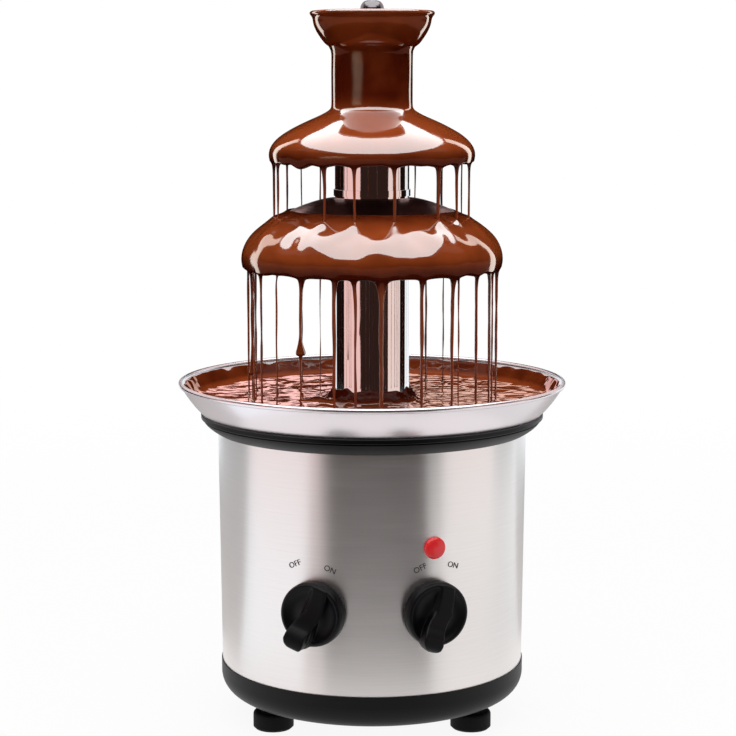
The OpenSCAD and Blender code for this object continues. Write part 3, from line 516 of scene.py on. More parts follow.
def brushed_finish(name, code, rough, line_mm, length_mm):
    """Stainless sheet brushed around: fine level lines that smear reflections up and down"""
    mat, tree = material(name)
    place = add(tree, "ShaderNodeTexCoord").outputs["Object"]
    scale = (1000 / length_mm, 1000 / length_mm, 1000 / line_mm)
    stretch = add(tree, "ShaderNodeMapping", {"Scale": scale}, {"Vector": place}).outputs["Vector"]
    noise = add(tree, "ShaderNodeTexNoise", {"Scale": 1.0, "Detail": 3.0}, {"Vector": stretch})
    spread = add(
        tree,
        "ShaderNodeMapRange",
        {"From Min": 0.3, "From Max": 0.7, "To Min": rough - 0.02, "To Max": rough + 0.02},
        {"Value": noise.outputs["Fac"]},
    )
    tone = add(tree, "ShaderNodeValToRGB", links={"Fac": noise.outputs["Fac"]})
    base = linear(code)
    tone.color_ramp.elements[0].position, tone.color_ramp.elements[1].position = 0.3, 0.7
    tone.color_ramp.elements[0].color = tuple(c * 0.955 for c in base[:3]) + (1.0,)
    tone.color_ramp.elements[1].color = base
    around = add(tree, "ShaderNodeTangent", direction_type="RADIAL", axis="Z")
    shader = add(
        tree,
        "ShaderNodeBsdfPrincipled",
        {"Metallic": 1.0, "Anisotropic": 0.7, "Anisotropic Rotation": 0.25},
        {
            "Base Color": tone.outputs["Color"],
            "Roughness": spread.outputs["Result"],
            "Tangent": around.outputs["Tangent"],
        },
    )
    add(tree, "ShaderNodeOutputMaterial", links={"Surface": shader.outputs[0]})
    return mat


def grained_finish(name, code, rough, grain_mm, depth, gloss=0.2):
    """Moulded plastic, rubber or cast metal with a fine grain that breaks up its gloss"""
    mat, tree = material(name)
    place = add(tree, "ShaderNodeTexCoord").outputs["Object"]
    noise = add(tree, "ShaderNodeTexNoise", {"Scale": 1000 / grain_mm, "Detail": 2.0}, {"Vector": place})
    relief = {"Strength": depth, "Distance": 0.05 * MM}
    bump = add(tree, "ShaderNodeBump", relief, {"Height": noise.outputs["Fac"]})
    shader = add(
        tree,
        "ShaderNodeBsdfPrincipled",
        {"Base Color": linear(code), "Roughness": rough, "Specular IOR Level": gloss},
        {"Normal": bump.outputs["Normal"]},
    )
    add(tree, "ShaderNodeOutputMaterial", links={"Surface": shader.outputs[0]})
    return mat


def dress(mat, *names):
    """Gives CAD nodes a finish"""
    for name in names:
        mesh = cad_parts[name].data
        mesh.materials.clear()
        mesh.materials.append(mat)


def put_finish(obj, mat):
    """Gives a new piece its finish"""
    obj.data.materials.clear()
    obj.data.materials.append(mat)


class FOUNTAIN_OT_finishes(bpy.types.Operator):
    """Gives every CAD piece the finish of its real material, with a painted reflection in the colour of the
    lower tier's bare top and of the auger's tip
    """

    bl_idname = "fountain.finishes"
    bl_label = "Finishes"

    def execute(self, context):
        colours = context.scene.fountain_colours
        self.dress_steel(colours)
        self.dress_drive()
        self.dress_plastic(colours)
        chocolate_finish(colours)
        # Screen ink: a thin, flat grey black
        plain("screen_ink", colours.ink, 0.5)
        return {"FINISHED"}

    def dress_steel(self, colours):
        """The housing, the bowl, the tower and the auger, all of stainless steel"""
        # Sheet brushed around: a pale satin with soft upright bands of light and dark.
        # Its lines are really about 0.1 mm wide and are drawn at 0.7 mm, so that they show
        brushed = brushed_finish("brushed_stainless", colours.steel, rough=0.3, line_mm=0.7, length_mm=30)
        dress(brushed, "housing_sleeve")
        # Polished sheet and bar: a clear mirror of the chocolate and the room
        polished = plain("polished_stainless", colours.chrome, 0.05, 1.0)
        dress(polished, "lower_tube", "upper_tube", "upper_tier", "crown_cup", "tower_spigot")
        dress(polished, "auger_core", "auger_flight", "auger_hub", "tower_pins", "drive_shaft")
        # Turned bar: a darker grey mirror, a little blurred, its darkness a painted dark reflection
        dress(plain("turned_stainless_painted_dark", "858184", 0.16, 1.0), "auger_tip")
        # Bare sheet, its colour a painted reflection of the chocolate above it: a dull, pinkish brown mirror
        dress(plain("stainless_painted_reflection", "A8847F", 0.28, 1.0), "lower_tier")
        # Satin sheet: pale, with soft reflections
        dress(plain("satin_stainless", "E8E0E3", 0.26, 1.0), "bowl")

    def dress_drive(self):
        """The metals of the motor, the gears, the heater and the fixings"""
        # Zinc plate on steel: a cool light grey, half dull
        zinc = plain("zinc_plated_steel", "B9BCC0", 0.32, 1.0)
        dress(zinc, "foot_stud_left", "foot_stud_right", "foot_stud_rear", "foot_nuts", "base_screws")
        dress(zinc, "drive_screws", "motor_plate", "upper_standoffs", "lower_standoffs", "switch_nuts")
        dress(zinc, "motor_stem", "heat_stem", "rotor_shaft", "bush_nut", "drive_collar")
        # Turned brass: a warm yellow with a soft shine
        dress(plain("turned_brass", "C9A35A", 0.28, 1.0), "gear_bushes", "motor_pinion")
        # Cast aluminium: a flat grey with the uneven skin of its mould
        cast = grained_finish("cast_aluminium", "8E9092", rough=0.5, grain_mm=1.2, depth=0.5, gloss=0.5)
        dress(cast, "gear_case", "gear_cover", "heater_ring")
        # Copper wire under enamel: a deep orange brown with some shine
        dress(plain("enamelled_copper", "9C5528", 0.35, 1.0), "motor_stator")
        # Deep-drawn steel: a plain grey with a soft shine
        dress(plain("deep_drawn_steel", "8B8F93", 0.38, 1.0), "motor_can")
        # Sintered ferrite: a matt charcoal grey
        dress(plain("sintered_ferrite", "3A3A3D", 0.6), "rotor_magnet")

    def dress_plastic(self, colours):
        """Plastics and rubber, whose moulded grain is drawn coarser than it is, so that it shows"""
        # Moulded ABS: nearly black, with a soft, slightly broken shine
        abs_black = grained_finish("moulded_abs", colours.plastic, rough=0.4, grain_mm=0.5, depth=0.15)
        dress(abs_black, "bowl_ring", "motor_knob", "heat_knob", "cord_gland")
        # Textured ABS: black and duller, with a coarser grain
        dress(grained_finish("textured_abs", "080808", rough=0.45, grain_mm=0.7, depth=0.3), "base_tray")
        # Moulded rubber: a matt black
        rubber = grained_finish("moulded_rubber", "080808", rough=0.7, grain_mm=0.8, depth=0.4)
        dress(rubber, "foot_pad_left", "foot_pad_right", "foot_pad_rear")
        # Silicone rubber: a dull brick red
        dress(plain("silicone_rubber", "5A2A22", 0.55), "shaft_seal")
        # Moulded nylon: a milky ivory
        dress(plain("moulded_nylon", "E6E1D4", 0.42), "output_gear", "terminal_block")
        # Acetal: a slightly greyer white
        dress(plain("acetal_bush", "D9D6CE", 0.4), "shaft_bush")
        # Phenolic: a dull charcoal black
        phenolic = plain("switch_phenolic", "26262A", 0.5)
        dress(phenolic, "motor_cap", "motor_switch", "heat_switch", "thermostat")
        # Moulded polycarbonate: a cloudy cream
        dress(plain("lamp_polycarbonate", "D8CFC2", 0.4), "pilot_lamp")
        # Red polycarbonate, lit from behind: a clear red with a shine and a faint glow
        red = linear(colours.lens)
        lit = {"IOR": 1.58, "Emission Color": red, "Emission Strength": 0.35}
        dress(plain("red_polycarbonate", colours.lens, 0.22, **lit), "pilot_lens")


class FOUNTAIN_OT_upper_chocolate(bpy.types.Operator):
    """Chocolate that wells over the cup, runs down the neck, covers the upper tier and falls in threads"""

    bl_idname = "fountain.upper_chocolate"
    bl_label = "Upper Chocolate"

    def execute(self, context):
        sizes = context.scene.fountain_sizes
        film = sizes.film / MM
        metal = dome_line(UPPER_R, UPPER_TOP, sizes.upper_drop / MM, sizes.upper_full, count=14)
        top = CUP_TOP
        # From inside the cup over its rim and down the neck: radius, and depth below the rim
        crown = [
            (17.6, 8), (17.6, 2.4), (18.4, 1.7), (22, 1.0), (26.5, 0.3), (30.5, -0.4), (32.4, -0.6),
            (33.6, 0.2), (33.5, 1.3), (32.6, 2.2), (31.9, 3.4), (31.7, 5.2), (31.3, 7), (30.6, 8.9),
            (29.7, 10.7), (28.7, 12.3), (27.7, 13.8), (26.7, 15.2), (25.6, 16.6), (24.4, 17.6), (23.1, 18.4),
            (22.3, 19.2), (21.95, 20.4), (21.9, 23), (21.9, 28), (21.9, 36), (21.9, 44), (21.9, 49.2),
            (22.05, 50.8), (22.9, 52.3),
        ]
        # The side that lies on the metal, up the neck and back into the cup
        neck = [(TUBE_R + 0.4, top - UPPER_TOP - 4), (TUBE_R + 1.2, 29), (TUBE_R + 1.2, 19.8), (26.2, 14.3)]
        cup = [(30.0, 8), (31.2, 4), (32.4, 2.2), (30.9, 1.6), (29.0, 4), (24, 8), (17.6, 8)]
        dome_from = 25
        outside = beside(metal, film, lambda r: 0.6 + 0.4 * ramp(r, 22, 50))
        line = [(r, top - below) for r, below in crown] + [p for p in outside if p[0] > dome_from]
        line += lip_line(metal[-1], film) + beside(metal, GAP)[::-1]
        line += [(r, top - below) for r, below in neck + cup]
        obj = close_ring(lathe("chocolate_over_upper_tier", line, sizes.segments))
        sag_edge(obj, metal[-1], UPPER_THREADS, UPPER_SAGS)
        land = LOWER_TOP - 0.385 * sizes.lower_drop / MM + 0.9
        for n, thread in enumerate(UPPER_THREADS):
            draw_thread(obj, metal[-1], thread, land, seed=n, foot=2.6)
        finish_liquid(obj, sizes, strength=0.45)
        lip_z = metal[-1][1] - LIP

        def depth(r, z):
            """Deep at the lip, and painted shade on the neck under the cup and a little on the cup's side"""
            # Painted shade: the neck lies in the cup's shadow, and the cup's side faces down
            neck_shade = 0.8 * ramp(z, top - 16, top - 21)
            cup_shade = 0.3 * ramp(z, top - 1.6, top - 3.4) * ramp(z, top - 21, top - 16)
            return max(lip_depth_and_shade(lip_z - z), ramp(z, UPPER_TOP, UPPER_TOP + 8) * (neck_shade + cup_shade))

        mark_depth_and_shade(obj, depth)
        put_finish(obj, bpy.data.materials["melted_chocolate"])
        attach(obj, "tower_upper")
        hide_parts("chocolate_crown", "chocolate_upper")
        return {"FINISHED"}


class FOUNTAIN_OT_lower_chocolate(bpy.types.Operator):
    """Chocolate over the lower tier, with an uneven start around its bare top and threads down to the pool"""

    bl_idname = "fountain.lower_chocolate"
    bl_label = "Lower Chocolate"

    def execute(self, context):
        sizes = context.scene.fountain_sizes
        film = sizes.film / MM
        metal = dome_line(LOWER_R, LOWER_TOP, sizes.lower_drop / MM, sizes.lower_full, count=22)
        wet = [p for p in metal if p[0] > sizes.bare_r / MM]
        outside = beside(wet, film, lambda r: 0.35 + 0.65 * ramp(r, 46, 64))
        r0, z0 = wet[0]
        edge = [(r0, z0 + GAP), (r0 - 0.4, z0 + 0.4), (r0 + 0.5, z0 + 0.7)]
        line = edge + outside[1:] + lip_line(metal[-1], film) + beside(wet, GAP)[::-1]
        line[-1] = line[0]
        obj = close_ring(lathe("chocolate_over_lower_tier", line, sizes.segments))
        self.loosen_edge(obj, r0 + 0.8)
        # Waves lie on the dome, not on the same radius further down, where it turns in again
        turn_in = outside[0][1] - 27
        dome = [q for q in outside if q[1] >= turn_in]
        for angle, r, rise, reach in LOWER_WAVES:
            near = min(dome, key=lambda q: abs(q[0] - r))
            outwards = spot(angle, 0.6, 0.8)
            pull(obj, spot(angle, *near), [d * rise / MM for d in outwards], reach)
        # The coat heaps up where the upper threads land
        land = UPPER_R - 0.6
        near = min(outside, key=lambda q: abs(q[0] - land))
        for angle, faces, waist in UPPER_THREADS:
            pull(obj, spot(angle, *near), (0, 0, 0.9 + 0.3 * faces), 4.5 + 0.8 * faces, "SHARP")
        sag_edge(obj, metal[-1], LOWER_THREADS, LOWER_SAGS)
        for n, thread in enumerate(LOWER_THREADS):
            draw_thread(obj, metal[-1], thread, POOL_TOP + 0.2, seed=n + 5, foot=4.0)
        finish_liquid(obj, sizes)
        lip_z = metal[-1][1] - LIP

        def depth(r, z):
            """Deep at the lip, and painted shade around the bare top, under the upper tier"""
            # Painted shade where the upper tier shades the lower coat near its bare top
            return max(lip_depth_and_shade(lip_z - z), 0.8 * ramp(r, 60, 46) * ramp(z, lip_z + 12, lip_z + 20))

        mark_depth_and_shade(obj, depth)
        put_finish(obj, bpy.data.materials["melted_chocolate"])
        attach(obj, "tower_lower")
        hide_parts("chocolate_lower")
        return {"FINISHED"}

    def loosen_edge(self, obj, reach):
        """Moves the coat's first loop in and out so that it ends in a flowing line"""
        step, half = 2, 0.9
        # Waves around the edge: how many, their share of the radius, and lag
        waves = ((3, 0.022, 0.6), (7, 0.014, 1.1), (16, 0.01, 0))
        for middle in range(0, 360, step):
            pick_points(obj, lambda p: p.xy.length < reach * MM and apart(angle_of(p), middle) < half)
            a = math.radians(middle)
            scale = 1 + sum(share * math.sin(count * a + lag) for count, share, lag in waves)
            bpy.ops.transform.resize(value=(scale, scale, 1), center_override=(0, 0, 0))


class FOUNTAIN_OT_pool(bpy.types.Operator):
    """The pool in the bowl: thick around the tube, swirled by the threads, and spread thin up the wall"""

    bl_idname = "fountain.pool"
    bl_label = "Pool"

    def execute(self, context):
        sizes = context.scene.fountain_sizes
        z = POOL_TOP
        near = TUBE_R + 0.4
        # The thick collar at the tube: distance from the tube's chocolate, and height above the pool
        collar = [
            (0, 5.8), (0.5, 6.4), (1.2, 5.8), (1.9, 4.2), (3.0, 2.2), (4.6, 0.9), (6.6, -0.1), (9, 0.5),
            (12, -0.3), (15, 0.3), (19, -0.1),
        ]
        # The open pool: radius, and height above its level
        level = [
            (44, 0.1), (49, 0), (54, 0.1), (58, -0.1), (61.5, 0.1), (65, -0.1), (68, 0.4), (71, 0.3),
            (74, -0.2), (78, 0.1), (82, 0), (86, 0.1), (90, 0), (93.5, 0.1),
        ]
        # The film on the wall: height above the pool, and thickness
        film_top = 8.3
        film = [
            (0.3, 1.6), (1.0, 0.9), (2.2, 0.65), (3.8, 0.6), (5.4, 0.6), (6.8, 0.6), (7.8, 0.55),
            (film_top, 0.3), (8.2, 0.0),
        ]
        line = [(near, FLOOR_TOP + GAP)]
        line += [(near + out, z + up) for out, up in collar]
        line += [(r, z + up) for r, up in level]
        line += [(bowl_wall(z + up) - thick, z + up) for up, thick in film]
        # Down the wall again and back along the floor
        back_steps, back_top, back_low = 12, z + 7, FLOOR_TOP + 0.6
        for step in range(back_steps):
            down = back_top - (back_top - back_low) * (step / (back_steps - 1)) ** 1.1
            line.append((bowl_wall(down), down))
        line += [(48, FLOOR_TOP + GAP), (near, FLOOR_TOP + GAP)]
        obj = close_ring(lathe("chocolate_in_bowl", line, sizes.segments))
        # Lumps around the tube and a fold of thick chocolate at its left
        lumps = 16
        for k in range(lumps):
            angle = 360 / lumps * k + 6 * math.sin(3.7 * k)
            pull(obj, spot(angle, near + 1.2, z + 5.8), (0, 0, 1.6 * math.sin(2.3 * k + 0.8)), 4.5)
            pull(obj, spot(angle + 11, near + 5, z + 0.8), (0, 0, 1.1 * math.sin(4.1 * k)), 4)
        fold = ((-68, 34, 3.4, 5.5), (-60, 31, 1.8, 5), (-52, 28, 1.6, 5), (-75, 38, 1.0, 5))
        for angle, r, rise, reach in fold:
            pull(obj, spot(angle, r, z), (0, 0, rise), reach)
        # Slow folds where the falling threads push the pool outwards, spread by the golden angle
        slow_folds, golden_angle, golden_share = 46, 137.5, 0.618
        for k in range(slow_folds):
            r = 34 + 58 * ((k * golden_share) % 1)
            reach = 6 + 5 * ((k * 0.37) % 1)
            pull(obj, spot(golden_angle * k, r, z), (0, 0, 0.9 * math.sin(1.9 * k)), reach)
        # The film's upper edge rises and falls along the rim
        rim_sags = 40
        for k in range(rim_sags):
            low = 0.9 + 0.8 * math.sin(2.7 * k) + 0.5 * math.sin(5.1 * k)
            rim = spot(360 / rim_sags * k, bowl_wall(z + film_top), z + film_top)
            pull(obj, rim, (0, 0, -low), 5)
        finish_liquid(obj, sizes, strength=0.8, fine=0.6)

        def depth(r, h):
            """Deep at the tube's thick collar, partly thick chocolate and partly a painted dark reflection, a
            painted dark reflection on the heaps, and a little darker up the wall
            """
            # The collar and the heaps are painted dark as their reflection of the dark front
            collar_depth_and_reflection = ramp(r, near + 9, near + 3)
            heap_painted_dark = ramp(r, 60, 50) * ramp(h, z + 0.8, z + 2)
            wall_darker = 0.5 * ramp(h, z + 1.5, z + 3) * ramp(r, 80, 90)
            return max(collar_depth_and_reflection, heap_painted_dark, wall_darker)

        mark_depth_and_shade(obj, depth)
        put_finish(obj, bpy.data.materials["melted_chocolate"])
        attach(obj, "base")
        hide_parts("chocolate_pool")
        # The polished tube mirrors the room down to its foot, not the pool, and the bare top mirrors no metal
        for piece in (obj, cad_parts["bowl"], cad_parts["upper_tier"]):
            piece.visible_glossy = False
        return {"FINISHED"}


class FOUNTAIN_OT_auger_chocolate(bpy.types.Operator):
    """Chocolate that the auger lifts, welling up around its core inside the cup"""

    bl_idname = "fountain.auger_chocolate"
    bl_label = "Auger Chocolate"

    def execute(self, context):
        sizes = context.scene.fountain_sizes
        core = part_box("auger_core")[1].x / MM + GAP
        segments = 96
        # Radius, and depth below the cup's rim
        swell = [
            (core, 5), (core, -0.2), (core + 0.8, -0.3), (core + 2.6, 0.5), (core + 5, 1.2), (15.2, 1.6),
            (16.8, 2.2), (17.1, 3.4), (16.6, 5), (core, 5),
        ]
        line = [(r, CUP_TOP - below) for r, below in swell]
        obj = close_ring(lathe("chocolate_on_auger", line, segments))
        finish_liquid(obj, sizes, strength=0.5)
        put_finish(obj, bpy.data.materials["melted_chocolate"])
        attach(obj, "auger")
        return {"FINISHED"}


class FOUNTAIN_OT_knobs(bpy.types.Operator):
    """Moulded knobs with soft edges and a swayed grip"""

    bl_idname = "fountain.knobs"
    bl_label = "Knobs"

    def execute(self, context):
        sizes = context.scene.fountain_sizes
        for node in ("motor_knob", "heat_knob"):
            only(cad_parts[node])
            bpy.ops.object.duplicate()
            obj = bpy.context.object
            obj.name = obj.data.name = "soft_" + node
            for key in [k for k in obj.keys() if k.startswith("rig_")]:
                del obj[key]
            obj.parent = None
            bpy.ops.object.mode_set(mode="EDIT")
            bpy.ops.mesh.select_all(action="SELECT")
            bpy.ops.mesh.remove_doubles(threshold=0.01 * MM)
            bpy.ops.object.mode_set(mode="OBJECT")
            grain = obj.modifiers.new("Grain", "REMESH")
            grain.mode = "VOXEL"
            grain.voxel_size = sizes.soften
            bpy.ops.object.modifier_apply(modifier=grain.name)
            self.sway_grip(obj, node.replace("knob", "stem"))
            soft = obj.modifiers.new("Soft", "SMOOTH")
            soft.factor, soft.iterations = 0.5, 12
            bpy.ops.object.modifier_apply(modifier=soft.name)
            bpy.ops.object.shade_smooth()
            put_finish(obj, bpy.data.materials["moulded_abs"])
            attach(obj, node)
            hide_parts(node)
        return {"FINISHED"}

    def sway_grip(self, obj, stem):
        """Sways a knob's grip to one side near its head and to the other near its tail, most at its crest"""
        low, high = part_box(stem)
        middle = (low + high) / 2
        a, turn = math.radians(angle_of(middle)), math.radians(20)
        right = Vector((math.cos(a), math.sin(a), 0))
        out = Vector((math.sin(a), -math.cos(a), 0))
        up = Vector((0, 0, 1))
        head = right * math.sin(turn) + up * math.cos(turn)
        side = right * math.cos(turn) - up * math.sin(turn)
        grip_height = 9
        face = max(v.co.dot(out) for v in obj.data.vertices) - grip_height * MM

        def along(p):
            """Distance of a point from the stem towards the grip's head, in mm"""
            return (p - middle).dot(head) / MM

        # The grip is taken in thin slabs from head to tail, and each is shifted above two heights
        slabs, slab, first = 60, 0.6, 15.5
        near_head, near_tail = 1.6, 0.9
        rises = (0.5, 2.2)
        bpy.ops.object.mode_set(mode="EDIT")
        for k in range(slabs):
            start = first - slab * k
            sway = math.sin(2 * math.pi * (k + 0.5) / slabs)
            shift = sway * (near_head if sway > 0 else near_tail)
            for rise in rises:
                above = face + rise * MM
                pick_points(obj, lambda p: start - slab < along(p) <= start and p.dot(out) > above)
                bpy.ops.transform.translate(value=side * shift * MM)
        bpy.ops.object.mode_set(mode="OBJECT")


class FOUNTAIN_OT_words(bpy.types.Operator):
    """Printed OFF and ON beside each knob, turned to follow it"""

    bl_idname = "fountain.words"
    bl_label = "Words"

    def execute(self, context):
        sizes = context.scene.fountain_sizes
        thick, proud = 0.05, 0.1
        # Piece, word, angle from the front, height above the sleeve's foot in mm, and turn
        for name, word, angle, up, turn in (
            ("motor_off", "OFF", -28.6, 68.5, 24),
            ("motor_on", "ON", -15.1, 67.2, -21),
            ("heat_off", "OFF", 17.1, 67.7, 24),
            ("heat_on", "ON", 30.0, 67.7, -17),
        ):
            deselect()
            bpy.ops.object.text_add()
            obj = bpy.context.object
            obj.data.body = word
            obj.data.size = sizes.word_size
            obj.data.align_x = "CENTER"
            obj.data.align_y = "CENTER"
            obj.data.extrude = thick * MM
            bpy.ops.object.convert(target="MESH")
            obj = bpy.context.object
            obj.name = obj.data.name = "word_" + name
            obj.rotation_mode = "XYZ"
            obj.rotation_euler = (0, 0, math.radians(turn))
            bpy.ops.object.transform_apply(location=False, rotation=True, scale=True)
            radius = SLEEVE_R - SLEEVE_TAPER * (1 - up / SLEEVE_H) + proud
            obj.rotation_euler = (math.radians(90), 0, math.radians(angle))
            obj.location = spot(angle, radius, SLEEVE_LOW + up)
            bpy.ops.object.transform_apply(location=True, rotation=True, scale=True)
            bpy.ops.object.mode_set(mode="EDIT")
            bpy.ops.mesh.select_all(action="SELECT")
            bpy.ops.mesh.remove_doubles(threshold=0.001 * MM)
            bpy.ops.object.mode_set(mode="OBJECT")
            put_finish(obj, bpy.data.materials["screen_ink"])
            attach(obj, "base")
        return {"FINISHED"}


class FOUNTAIN_OT_stage(bpy.types.Operator):
    """Pale floor, soft studio light with dark cards that shape the metal's reflections, and the camera"""

    bl_idname = "fountain.stage"
    bl_label = "Stage"

    def execute(self, context):
        scene = context.scene
        scene.view_settings.view_transform = "Standard"
        self.light_world(scene)
        self.lay_floor()
        self.stand_cards()
        self.hang_panels()
        self.place_camera(scene)
        return {"FINISHED"}

    def light_world(self, scene):
        """White as a background, softer as light and in reflections"""
        world = bpy.data.worlds.new("studio")
        world.use_nodes = True
        world.cycles.sampling_method = "NONE"
        tree = world.node_tree
        tree.nodes.clear()
        soft = add(tree, "ShaderNodeBackground", {"Color": (1, 1, 1, 1), "Strength": 0.15})
        white = add(tree, "ShaderNodeBackground", {"Color": (1, 1, 1, 1), "Strength": 1.0})
        camera = add(tree, "ShaderNodeLightPath").outputs["Is Camera Ray"]
        mix = add(tree, "ShaderNodeMixShader", links={0: camera, 1: soft.outputs[0], 2: white.outputs[0]})
        add(tree, "ShaderNodeOutputWorld", links={"Surface": mix.outputs[0]})
        scene.world = world

    def seen(self, tree):
        """1 for what the camera sees directly, in a reflection or through glass"""
        path = add(tree, "ShaderNodeLightPath")
        share = path.outputs["Is Camera Ray"]
        for name in ("Is Glossy Ray", "Is Transmission Ray"):
            either = add(tree, "ShaderNodeMath", links={0: share, 1: path.outputs[name]}, operation="MAXIMUM")
            share = either.outputs[0]
        return share

    def from_axis(self, tree, start, end, near, far):
        """A value that runs from near to far between two distances from the middle, in metres"""
        place = add(tree, "ShaderNodeTexCoord")
        distance = add(tree, "ShaderNodeVectorMath", links={0: place.outputs["Object"]}, operation="LENGTH")
        return add(
            tree,
            "ShaderNodeMapRange",
            {"From Min": start, "From Max": end, "To Min": near, "To Max": far},
            {"Value": distance.outputs["Value"]},
            interpolation_type="SMOOTHSTEP",
        ).outputs["Result"]

    def lay_floor(self):
        """A plain white floor that keeps the shadow near the fountain and fades into the background"""
        deselect()
        under_feet = (0, 0, -0.2 * MM)
        bpy.ops.mesh.primitive_circle_add(vertices=96, radius=9.0, fill_type="NGON", location=under_feet)
        floor = bpy.context.object
        floor.name = "studio_floor"
        mat, tree = material("white_floor")
        fade = self.from_axis(tree, start=0.15, end=1.2, near=0.92, far=1.0)
        share = add(tree, "ShaderNodeMath", links={0: self.seen(tree), 1: fade}, operation="MULTIPLY")
        path = add(tree, "ShaderNodeLightPath")
        tone = add(
            tree,
            "ShaderNodeMix",
            {6: (0.92, 0.92, 0.92, 1), 7: (0.15, 0.15, 0.15, 1)},
            {0: path.outputs["Is Diffuse Ray"]},
            data_type="RGBA",
        )
        matt = add(tree, "ShaderNodeBsdfDiffuse", links={"Color": tone.outputs[2]})
        glow = add(tree, "ShaderNodeEmission", {"Color": (1, 1, 1, 1), "Strength": 1.0})
        blend = {0: share.outputs[0], 1: matt.outputs[0], 2: glow.outputs[0]}
        mix = add(tree, "ShaderNodeMixShader", links=blend)
        add(tree, "ShaderNodeOutputMaterial", links={"Surface": mix.outputs[0]})
        floor.data.materials.append(mat)

    def stand_cards(self):
        """Cards that only reflections see: a floor, a low wall of stripes and a dark wall above"""
        # Rings of the floor and the wall, in mm
        segments, wall = 180, 800
        line = [(r, 1) for r in (200, 300, 450, 620, wall)]
        line += [(wall, h) for h in (60, 200, 330, 460, 700, 1000)]
        obj = lathe("reflection_cards", line, segments)
        bpy.ops.object.mode_set(mode="OBJECT")
        warm, brown = (1.0, 0.975, 0.965, 1), (1.0, 0.48, 0.39, 1)
        cool, pale = (0.9, 0.96, 1.0, 1), (0.98, 1.0, 1.0, 1)
        rose, cream, dusk = (1.0, 0.64, 0.61, 1), (1.0, 0.8, 0.755, 1), (1.0, 0.84, 0.82, 1)
        # Tint, and strength near the fountain and far from it. The first covers what no zone takes
        cards = {
            "card_white": (cool, 1.24, 1.17),
            "card_front": (warm, 0.31, 0.05),
            "card_side": (warm, 0.64, 0.44),
            "card_dark": (brown, 0.03, 0.03),
            "card_black": (brown, 0.009, 0.009),
            "card_rose": (rose, 1.02, 1.02),
            "card_cream": (cream, 0.97, 0.97),
            "card_dusk": (dusk, 0.9, 0.9),
            "card_right": (pale, 0.87, 1.13),
        }
        for name, (tint, near, far) in cards.items():
            mat, tree = material(name)
            mat.cycles.emission_sampling = "NONE"
            strength = self.from_axis(tree, start=0.2, end=0.75, near=near, far=far)
            glow = add(tree, "ShaderNodeEmission", {"Color": tint}, {"Strength": strength})
            add(tree, "ShaderNodeOutputMaterial", links={"Surface": glow.outputs[0]})
            obj.data.materials.append(mat)
        # Each zone's card, heights in metres, and angles from the front; a later zone covers an earlier one
        floor, front, stripes, back, above = (0, 0.01), (0.01, 0.33), (0.06, 0.33), (0.2, 0.33), (0.33, 1.0)
        zones = (
            ("card_right", floor, 38, 130),
            ("card_side", floor, -180, -100),
            ("card_side", floor, 130, 180),
            ("card_side", floor, -44, 38),
            ("card_front", floor, -30, 38),
            ("card_dark", front, -37, 50),
            ("card_rose", stripes, -97, -37),
            ("card_cream", stripes, 50, 97),
            ("card_black", stripes, 97, 123),
            ("card_black", stripes, -143, -97),
            ("card_black", above, -180, 180),
            ("card_black", back, -166, -143),
            ("card_black", back, 141, 166),
            ("card_dusk", above, 95, 166),
            ("card_dusk", above, -166, -95),
        )
        only(obj)
        bpy.ops.object.mode_set(mode="EDIT")
        for name, (low, high), start, end in zones:
            pick_faces(obj, lambda c, d: low <= c.z <= high and start <= angle_of(c) <= end)
            obj.active_material_index = list(cards).index(name)
            bpy.ops.object.material_slot_assign()
        # Open in front, so that the domes mirror the ceiling further down
        open_above, open_angle = 0.7, 100
        pick_faces(obj, lambda c, d: c.z > open_above and abs(angle_of(c)) < open_angle)
        bpy.ops.mesh.delete(type="FACE")
        bpy.ops.object.mode_set(mode="OBJECT")
        obj.visible_camera = obj.visible_diffuse = obj.visible_shadow = obj.visible_transmission = False

    def hang_panels(self):
        """A round soft light overhead, and sheets that show only in the gloss of some pieces"""
        wet, pool, dry, upper, lower = (
            bpy.data.collections.new(name + "_pieces") for name in ("wet", "pool", "dry", "upper", "lower")
        )
        for obj in [o for o in bpy.data.objects if o.type == "MESH"]:
            over, kind = obj.name.startswith("chocolate_over_"), obj.name.startswith("chocolate_")
            (wet if over else pool if kind else dry).objects.link(obj)
        upper.objects.link(bpy.data.objects["chocolate_over_upper_tier"])
        lower.objects.link(bpy.data.objects["chocolate_over_lower_tier"])
        for name in ("reflection_cards", "studio_floor"):
            bpy.data.objects[name].light_linking.receiver_collection = dry
        white, pale, cream = (1.0, 1.0, 1.0), (0.92, 1.0, 1.0), (1.0, 0.88, 0.78)
        blush, red = (1.0, 0.6, 0.57), (1.0, 0.36, 0.26)
        tan, amber = (1.0, 0.64, 0.53), (1.0, 0.8, 0.55)
        round_size, middle, level = (2.4, 3.2), -0.52, (0, 0, 0)
        self.panel("ceiling", "ELLIPSE", round_size, (0, middle, 1.3), level, 1.7)
        self.panel("ceiling_gloss", "ELLIPSE", round_size, (0, middle, 1.29), level, 1.9, dry, white)
        self.panel("ceiling_sheen", "ELLIPSE", round_size, (0, middle, 1.28), level, 6.4, wet, pale)
        # Upright strips behind, whose streaks run down the sides of the domes
        for name, az, coat in (
            ("upper_left_strip", -135, upper),
            ("upper_right_strip", 136, upper),
            ("lower_left_strip", -121, lower),
            ("lower_right_strip", 127, lower),
        ):
            self.sheet(name, (0.15, 0.9), (az, 750, 500), 3.6, coat, cream)
        # A bright low box in front at the left, that the upper coat mirrors as its highlight
        self.sheet("left_box", (0.39, 0.095), (-42.5, 800, 372.5), 30.0, upper, amber)
        # Faint red sheets low around the front, that the lips mirror
        for az in range(-100, 101, 50):
            self.sheet("lip_band", (0.66, 0.25), (az, 700, 140), 0.28, wet, red)
